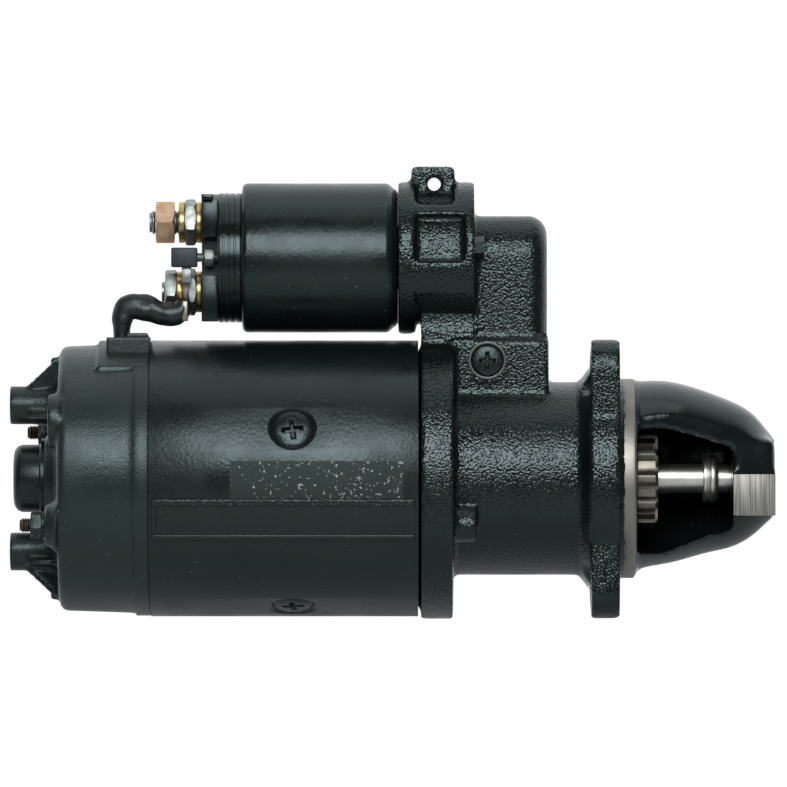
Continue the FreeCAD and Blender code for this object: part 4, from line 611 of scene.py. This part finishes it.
def nut(across, low, high, bore, y=0, z=0, turn=0):
    """A hexagon nut, its corners cut back by the cone that a lathe gives both faces."""
    corner = across / 2 / math.cos(math.radians(30))
    ring = [(corner * math.cos(math.radians(60 * i + turn)),
             corner * math.sin(math.radians(60 * i + turn))) for i in range(6)]
    hexagon = prism(ring, low, high, "X")
    cut = (corner - across / 2) * 1.05
    cone = turned([(low, bore), (low, corner - cut), (low + cut * 0.6, corner + 0.02),
                   (high - cut * 0.6, corner + 0.02), (high, corner - cut), (high, bore),
                   (low, bore)], steps=48)
    made = softened(within(hexagon, cone), 0.12)
    bmesh.ops.translate(made, vec=(0, y, z), verts=made.verts)
    return made


rusty = turned_steel("steel thread, browned", "#5d544a", 0.5, 1.0, 0.02, 0.4)
painted_nut = black_paint("thin black enamel on a nut", "#20201d", 0.7, 0.05, 0.34, 0.14)
studs, stud_nuts, stud_washers = [], [], []
for side in (1, -1):
    y, z = side * bolt_y, side * bolt_z
    studs.append(turned(thread(2.98, -246.4, -226.5, 1.0, 0.55), y, z, steps=40))
    studs.append(turned([(-226.6, 0), (-226.6, 2.9), (-60.9, 2.9), (-60.9, 0)], y, z, steps=32))
    stud_nuts.append(nut(10, -241.9, -237.35, 3.0, y, z, 12))
    stud_washers.append(softened(turned([(-237.3, 3.05), (-237.3, 5.9), (-236.25, 5.9),
                                         (-236.25, 3.05), (-237.3, 3.05)], y, z, steps=48), 0.2))
piece("through_bolt_studs", gathered(*studs), "housing", rusty, "machined_steel", "through_bolts")
piece("through_bolt_hex_nuts", gathered(*stud_nuts), "housing", painted_nut, "black_oxide",
      "through_bolt_nuts")
piece("through_bolt_flat_washers", gathered(*stud_washers), "housing", painted_nut, "black_oxide",
      "through_bolt_washers")

# ---- Solenoid case: deep drawn steel, rolled over at the cap and stepped in at the mount ----
case = turned([(-155.7, 27.2), (-155.7, 28.6), (-155.5, 29.8), (-154.6, 30.65), (-153.6, 30.9),
               (-96.4, 30.9), (-95.2, 30.6), (-91.9, 27.9), (-91.25, 26.9), (-91.25, 14.2),
               (-95.1, 14.2), (-95.1, 25.2), (-98.2, 28.4), (-155.7, 28.4), (-155.7, 27.2)],
              z=tower_axis, steps=160)
solenoid_paint = black_paint("black enamel on drawn steel", "#090d0e", 1.5, 0.04, 0.24, 0.06)
piece("solenoid_case_shell", case, "housing", solenoid_paint, "enamel", "solenoid_case")

# ---- Solenoid cap: black phenolic moulding, held by the case's rolled edge ----
# Three grooves run round it next to the case. It carries both terminal bolts.
phenolic = black_paint("black phenolic moulding", "#07080a", 0.7, 0.02, 0.2, 0.07)
ridges = [(-165.4, 25.9), (-165.4, 26.6), (-164.9, 26.8)]
for groove in (-163.3, -160.9, -158.5):
    ridges += [(groove - 0.55, 26.8), (groove - 0.3, 26.55), (groove + 0.3, 26.55),
               (groove + 0.55, 26.8)]
ridges += [(-156.2, 26.8), (-155.75, 26.6), (-155.75, 25.9), (-165.4, 25.9)]
piece("solenoid_cap_ridges", turned(ridges, z=tower_axis, steps=128), "housing", phenolic,
      "phenolic")
moulding = copied("solenoid_cap")
bmesh.ops.dissolve_limit(moulding, angle_limit=math.radians(0.5), verts=moulding.verts,
                         edges=moulding.edges)
ribs = [block((-172.3, -167.4), (-24.5, -13.5), (115.0, 117.4)),
        block((-172.3, -165.6), (-20, -12), (64.9, 84.0)),
        block((-172.3, -165.6), (-21, -12), (99.9, 115.4))]
piece("solenoid_cap_moulding", gathered(moulding, *[softened(rib, 0.4) for rib in ribs]), "housing",
      phenolic, "phenolic", "solenoid_cap")

# ---- Terminal bolts: M10 steel bolts through the cap, zinc plated ----
# Battery terminal, outside to inside: copper plated nut, washer, locking nut, washer. The washers
# are passivated yellow, the locking nuts clear. The nuts stand as they were tightened.
def plating(name, colour, other, roughness):
    """A thin bright electroplate over machined steel, its colour drifting over some millimetres."""
    material, tree, shader, spot = fresh(name)
    shader.inputs["Metallic"].default_value = 1.0
    cloud = add(tree, "ShaderNodeTexNoise", {"Vector": spot, "Scale": 260.0, "Detail": 4.0})
    spread = add(tree, "ShaderNodeMapRange", {"Value": cloud.outputs["Fac"], "From Min": 0.35,
                                              "From Max": 0.65})
    tone = add(tree, "ShaderNodeMix", {0: spread.outputs[0], 6: linear(colour),
                                       7: linear(other)}, data_type="RGBA")
    tree.links.new(tone.outputs[2], shader.inputs["Base Color"])
    dull = add(tree, "ShaderNodeMapRange", {"Value": cloud.outputs["Fac"],
                                            "To Min": roughness - 0.1, "To Max": roughness + 0.14})
    tree.links.new(dull.outputs[0], shader.inputs["Roughness"])
    scratch = add(tree, "ShaderNodeTexNoise", {"Vector": spot, "Scale": 2200.0, "Detail": 2.0})
    lift = add(tree, "ShaderNodeBump", {"Height": scratch.outputs["Fac"], "Strength": 0.7,
                                        "Distance": 0.02 * MM})
    tree.links.new(lift.outputs["Normal"], shader.inputs["Normal"])
    return material


zinc = plating("clear zinc plate", "#aab1af", "#858d8b", 0.42)
yellow_zinc = plating("yellow passivated zinc", "#d8be84", "#b39a66", 0.3)
copper_plate = plating("copper plate on steel", "#f2d6b8", "#d9b090", 0.42)
upper_z, lower_z = 106.1, 77.3
cap_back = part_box("solenoid_cap")[0].x / MM
tips = {upper_z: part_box("terminal_bolts")[0].x / MM, lower_z: cap_back - 16.7}
head_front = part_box("terminal_bolts")[1].x / MM
bolts = []
for z, tip in tips.items():
    bolts.append(turned(thread(4.95, tip, cap_back + 0.6, 1.5, 0.85, 0.9), z=z, steps=48))
    bolts.append(turned([(cap_back + 0.5, 0), (cap_back + 0.5, 4.95), (head_front - 3.2, 4.95),
                         (head_front - 3.2, 7.5), (head_front, 7.5), (head_front, 0)], z=z,
                        steps=48))
piece("terminal_bolt_threads", gathered(*bolts), "housing", zinc, "zinc_plate", "terminal_bolts")
washers = []
for low, z in ((cap_back - 2.4, upper_z), (cap_back - 9.6, upper_z), (-182.9, lower_z),
               (cap_back - 2.4, lower_z)):
    washers.append(softened(turned([(low, 5.02), (low, 8.5), (low + 2.35, 8.5), (low + 2.35, 5.02),
                                    (low, 5.02)], z=z, steps=64), 0.35))
piece("terminal_flat_washers", gathered(*washers), "housing", yellow_zinc, "yellow_zinc",
      "terminal_washers")
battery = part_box("battery_nut")
piece("battery_terminal_nut", nut(17, battery[0].x / MM, battery[1].x / MM, 5.0, 0, upper_z, 0),
      "housing", copper_plate, "copper_plate", "battery_nut")
locking = [nut(17, cap_back - 7.15, cap_back - 2.45, 5.0, 0, upper_z, 18),
           nut(17, -187.7, -182.95, 5.0, 0, lower_z, 10),
           nut(17, cap_back - 5.55, cap_back - 2.45, 5.0, 0, lower_z, 25)]
piece("terminal_locking_nuts", gathered(*locking), "housing", zinc, "zinc_plate", "terminal_nuts")

# ---- Cable lug: stamped from tinned copper strip, its barrel hidden in the cable's sleeve ----
tinned = plating("tinned copper", "#9a9896", "#77706a", 0.4)
lug_low, lug_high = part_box("cable_lug")[0].x / MM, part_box("cable_lug")[1].x / MM
eye = turned([(lug_low, 5.05), (lug_low, 8.0), (lug_high, 8.0), (lug_high, 5.05), (lug_low, 5.05)],
             z=lower_z, steps=64)
tail = block((lug_low + 0.02, lug_high - 0.02), (-18.5, -5.2), (65.1, 73.4))
piece("cable_lug_stamping", gathered(softened(eye, 0.3), softened(tail, 0.5)), "housing", tinned,
      "copper", "cable_lug")

# ---- Switch terminal: a moulded plug housing on a 4 mm stem, with its blade showing below ----
plug_low, plug_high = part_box("switch_insulator")[0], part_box("switch_insulator")[1]
low, high = plug_low / MM, plug_high / MM
plug = softened(block((low.x, high.x), (low.y, high.y), (low.z, high.z)), 0.7, 3)
dark_nylon = black_paint("dark grey moulded nylon", "#33343c", 0.35, 0.015, 0.42, 0.1)
piece("switch_plug_housing", plug, "housing", dark_nylon, "nylon", "switch_insulator")
blade_low, blade_high = high.x - 6.5, high.x - 2.5
blade = softened(block((blade_low, blade_high), (-15.9, -14.1), (low.z - 6.4, low.z + 0.5)), 0.3)
stem = turned(thread(1.95, high.x - 0.5, high.x + 9.0, 0.7, 0.35, 0.3), y=-15, z=91.4, steps=32)
piece("switch_blade_and_stem", gathered(blade, stem), "housing", zinc, "zinc_plate",
      "switch_terminal")
small_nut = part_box("switch_nut")
piece("switch_terminal_nut", nut(7, small_nut[0].x / MM, small_nut[1].x / MM, 2.0, -15, 91.4, 8),
      "housing", zinc, "zinc_plate", "switch_nut")

# ---- Field cable: stranded copper in black rubber, under a sleeve shrunk on by hand ----
# It rises from the grommet and bends over to the lug. The sleeve is lumpy where it shrank.
rubber = black_paint("black rubber", "#1d2123", 1.6, 0.07, 0.36, 0.04)
rubber_shader = rubber.node_tree.nodes["Principled BSDF"]
rubber_shader.inputs["Specular Tint"].default_value = (0.9, 1, 1.03, 1)
curve = bpy.data.curves.new("field_cable_line", "CURVE")
curve.dimensions = "3D"
curve.bevel_depth = 1.0
curve.bevel_resolution = 10
curve.resolution_u = 16
curve.use_fill_caps = True
spline = curve.splines.new("NURBS")
route = [(-205.5, 47.0, 3.1), (-205.5, 54.0, 3.15), (-205.4, 60.0, 3.4), (-205.2, 65.5, 4.1),
         (-204.2, 70.6, 5.0), (-198.5, 71.6, 5.3), (-193.0, 69.6, 5.0), (-188.0, 68.0, 4.9),
         (-183.5, 68.0, 5.2), (-180.6, 69.6, 4.7), (-179.4, 72.6, 3.4)]
spline.points.add(len(route) - 1)
for point, (x, z, radius) in zip(spline.points, route):
    point.co = (x * MM, -14.5 * MM, z * MM, 1)
    point.radius = radius * MM
spline.order_u = 3
spline.use_endpoint_u = True
line = bpy.data.objects.new("field_cable_line", curve)
bpy.context.scene.collection.objects.link(line)
bpy.context.view_layer.update()
graph = bpy.context.evaluated_depsgraph_get()
tube_data = bpy.data.meshes.new_from_object(line.evaluated_get(graph), depsgraph=graph)
bpy.data.objects.remove(line)
cable = bmesh.new()
cable.from_mesh(tube_data)
bmesh.ops.scale(cable, vec=(1000, 1000, 1000), verts=cable.verts)
bmesh.ops.remove_doubles(cable, verts=cable.verts, dist=1e-3)
bmesh.ops.recalc_face_normals(cable, faces=cable.faces)
cable.normal_update()
for v in cable.verts:
    lump = noise.noise(Vector((v.co.x * 0.19, v.co.y * 0.12, v.co.z * 0.19)))
    v.co += v.normal * lump * (0.85 if v.co.z > 64 else 0.15)
piece("field_cable_sleeved", cable, "housing", rubber, "rubber", "field_cable", sharp=80)

# ---- Grommet: black rubber block on the end shield, with an upright tab beside the lead ----
grommet_low, grommet_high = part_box("cable_grommet")[0] / MM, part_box("cable_grommet")[1] / MM
tab = block((grommet_high.x - 9.5, grommet_high.x - 1), (-22, -8), (52, 60.2))
skirt = block((grommet_low.x + 0.4, grommet_high.x - 0.6), (-24.2, -4.8), (50, 56.6))
grommet = cast(gathered(copied("cable_grommet"), tab, skirt), 0.55, 4)
piece("cable_grommet_moulding", grommet, "housing", rubber, "rubber", "cable_grommet")

# ---- Pinion: 11 teeth cut in case-hardened steel, their ends chamfered for the ring gear ----
gear_steel = turned_steel("case-hardened steel, oiled", "#8f8a82", 0.36, 1.2, 0.015, 0.25)
gear = copied("pinion")
bmesh.ops.dissolve_limit(gear, angle_limit=math.radians(1), verts=gear.verts, edges=gear.edges)
piece("pinion_gear", softened(gear, 0.35), "pinion", gear_steel, "gear_steel", "pinion", sharp=30)

# ---- Stop ring: a turned collar on the shaft, with its snap ring beside it ----
bright_steel = turned_steel("ground steel", "#e2e2df", 0.36, 0.7, 0.006, 0.05)
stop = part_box("stop_ring")
low, high = stop[0].x / MM, stop[1].x / MM
collar = turned([(low, 6.1), (low, 9.3), (low + 0.35, 9.8), (low + 1.2, 9.8), (low + 1.7, 9.1),
                 (low + 2.1, 8.6), (low + 2.5, 9.2), (low + 3.3, 9.75), (low + 4.4, 9.8),
                 (low + 5.4, 9.3), (high - 0.1, 8.2), (high, 6.1), (low, 6.1)], steps=72)
piece("stop_ring_collar", collar, "armature", bright_steel, "machined_steel", "stop_ring")

# ---- Springs: oiled spring steel, each seated on a fixed piece at one end ----
# The return spring sits on the solenoid's core, the contact spring in the cap, and the brush
# springs in their holders.
spring_steel = turned_steel("oiled spring steel", "#5c5b58", 0.33, 0.8, 0.01)
ways = {joint["name"]: Vector(joint["axis"]) for joint in frame["record"]["behaviour"]["joints"]}
springs = [("plunger_spring", "plunger_slide", 14.8), ("contact_spring", "contact_slide", 3.0)]
springs += [(f"brush_spring_{i}", f"brush_{i}_lift", 4.0) for i in range(1, 5)]
for name, joint, travel in springs:
    way, coil = ways[joint], copied(name)
    reach = [v.co.dot(way) for v in coil.verts]
    middle = sum((v.co for v in coil.verts), Vector()) / len(coil.verts)
    made = piece(name + "_coil", coil, "housing", spring_steel, "spring_steel", name, sharp=60)
    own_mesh(made)

# ---- Everything that stays as it was designed gets the finish of what it is made of ----
# Bare machined steel for the shaft and clutch, stacked electrical sheet for the core, copper for
# windings and commutator, sintered bronze for the bushes, carbon for the brushes.
core_steel = turned_steel("stacked electrical sheet", "#6f7172", 0.5, 0.5, 0.03, 0.3)
bronze = plating("sintered bronze", "#8d6b3f", "#6d5030", 0.5)
copper = plating("drawn copper", "#b0673f", "#8c4a2c", 0.3)
enamelled_wire = plating("copper wire under brown enamel", "#7a3a1e", "#5a2714", 0.35)
enamelled_wire.node_tree.nodes["Principled BSDF"].inputs["Metallic"].default_value = 0.3
carbon = black_paint("copper and carbon brush", "#2a2624", 0.5, 0.02, 0.6, 0.12)
nylon = black_paint("natural nylon spool", "#4a463e", 0.8, 0.02, 0.45, 0.04)
finishes = {
    bright_steel: ("armature_shaft", "snap_ring", "contact_rod"),
    turned_steel("machined steel", "#8f8e8a", 0.34, 0.9, 0.012): (
        "clutch_sleeve", "clutch_shell", "clutch_rollers", "engagement_collar", "plunger",
        "solenoid_core", "pole_shoe_1", "pole_shoe_2", "pole_shoe_3", "pole_shoe_4"),
    screw_paint: ("solenoid_screws",),
    turned_steel("forged steel", "#57544e", 0.48, 1.4, 0.05, 0.3): ("shift_lever",),
    spring_steel: ("meshing_spring",),
    core_steel: ("armature_core",),
    copper: ("commutator", "contact_bridge"),
    enamelled_wire: ("armature_winding", "field_winding", "solenoid_winding"),
    bronze: ("drive_end_bush", "commutator_end_bush"),
    zinc: ("brush_plate", "brush_holders"),
    carbon: ("brush_1", "brush_2", "brush_3", "brush_4"),
    nylon: ("solenoid_bobbin",),
}
for finish, names in finishes.items():
    for name in names:
        frame["nodes"][name].material_slots[0].material = finish
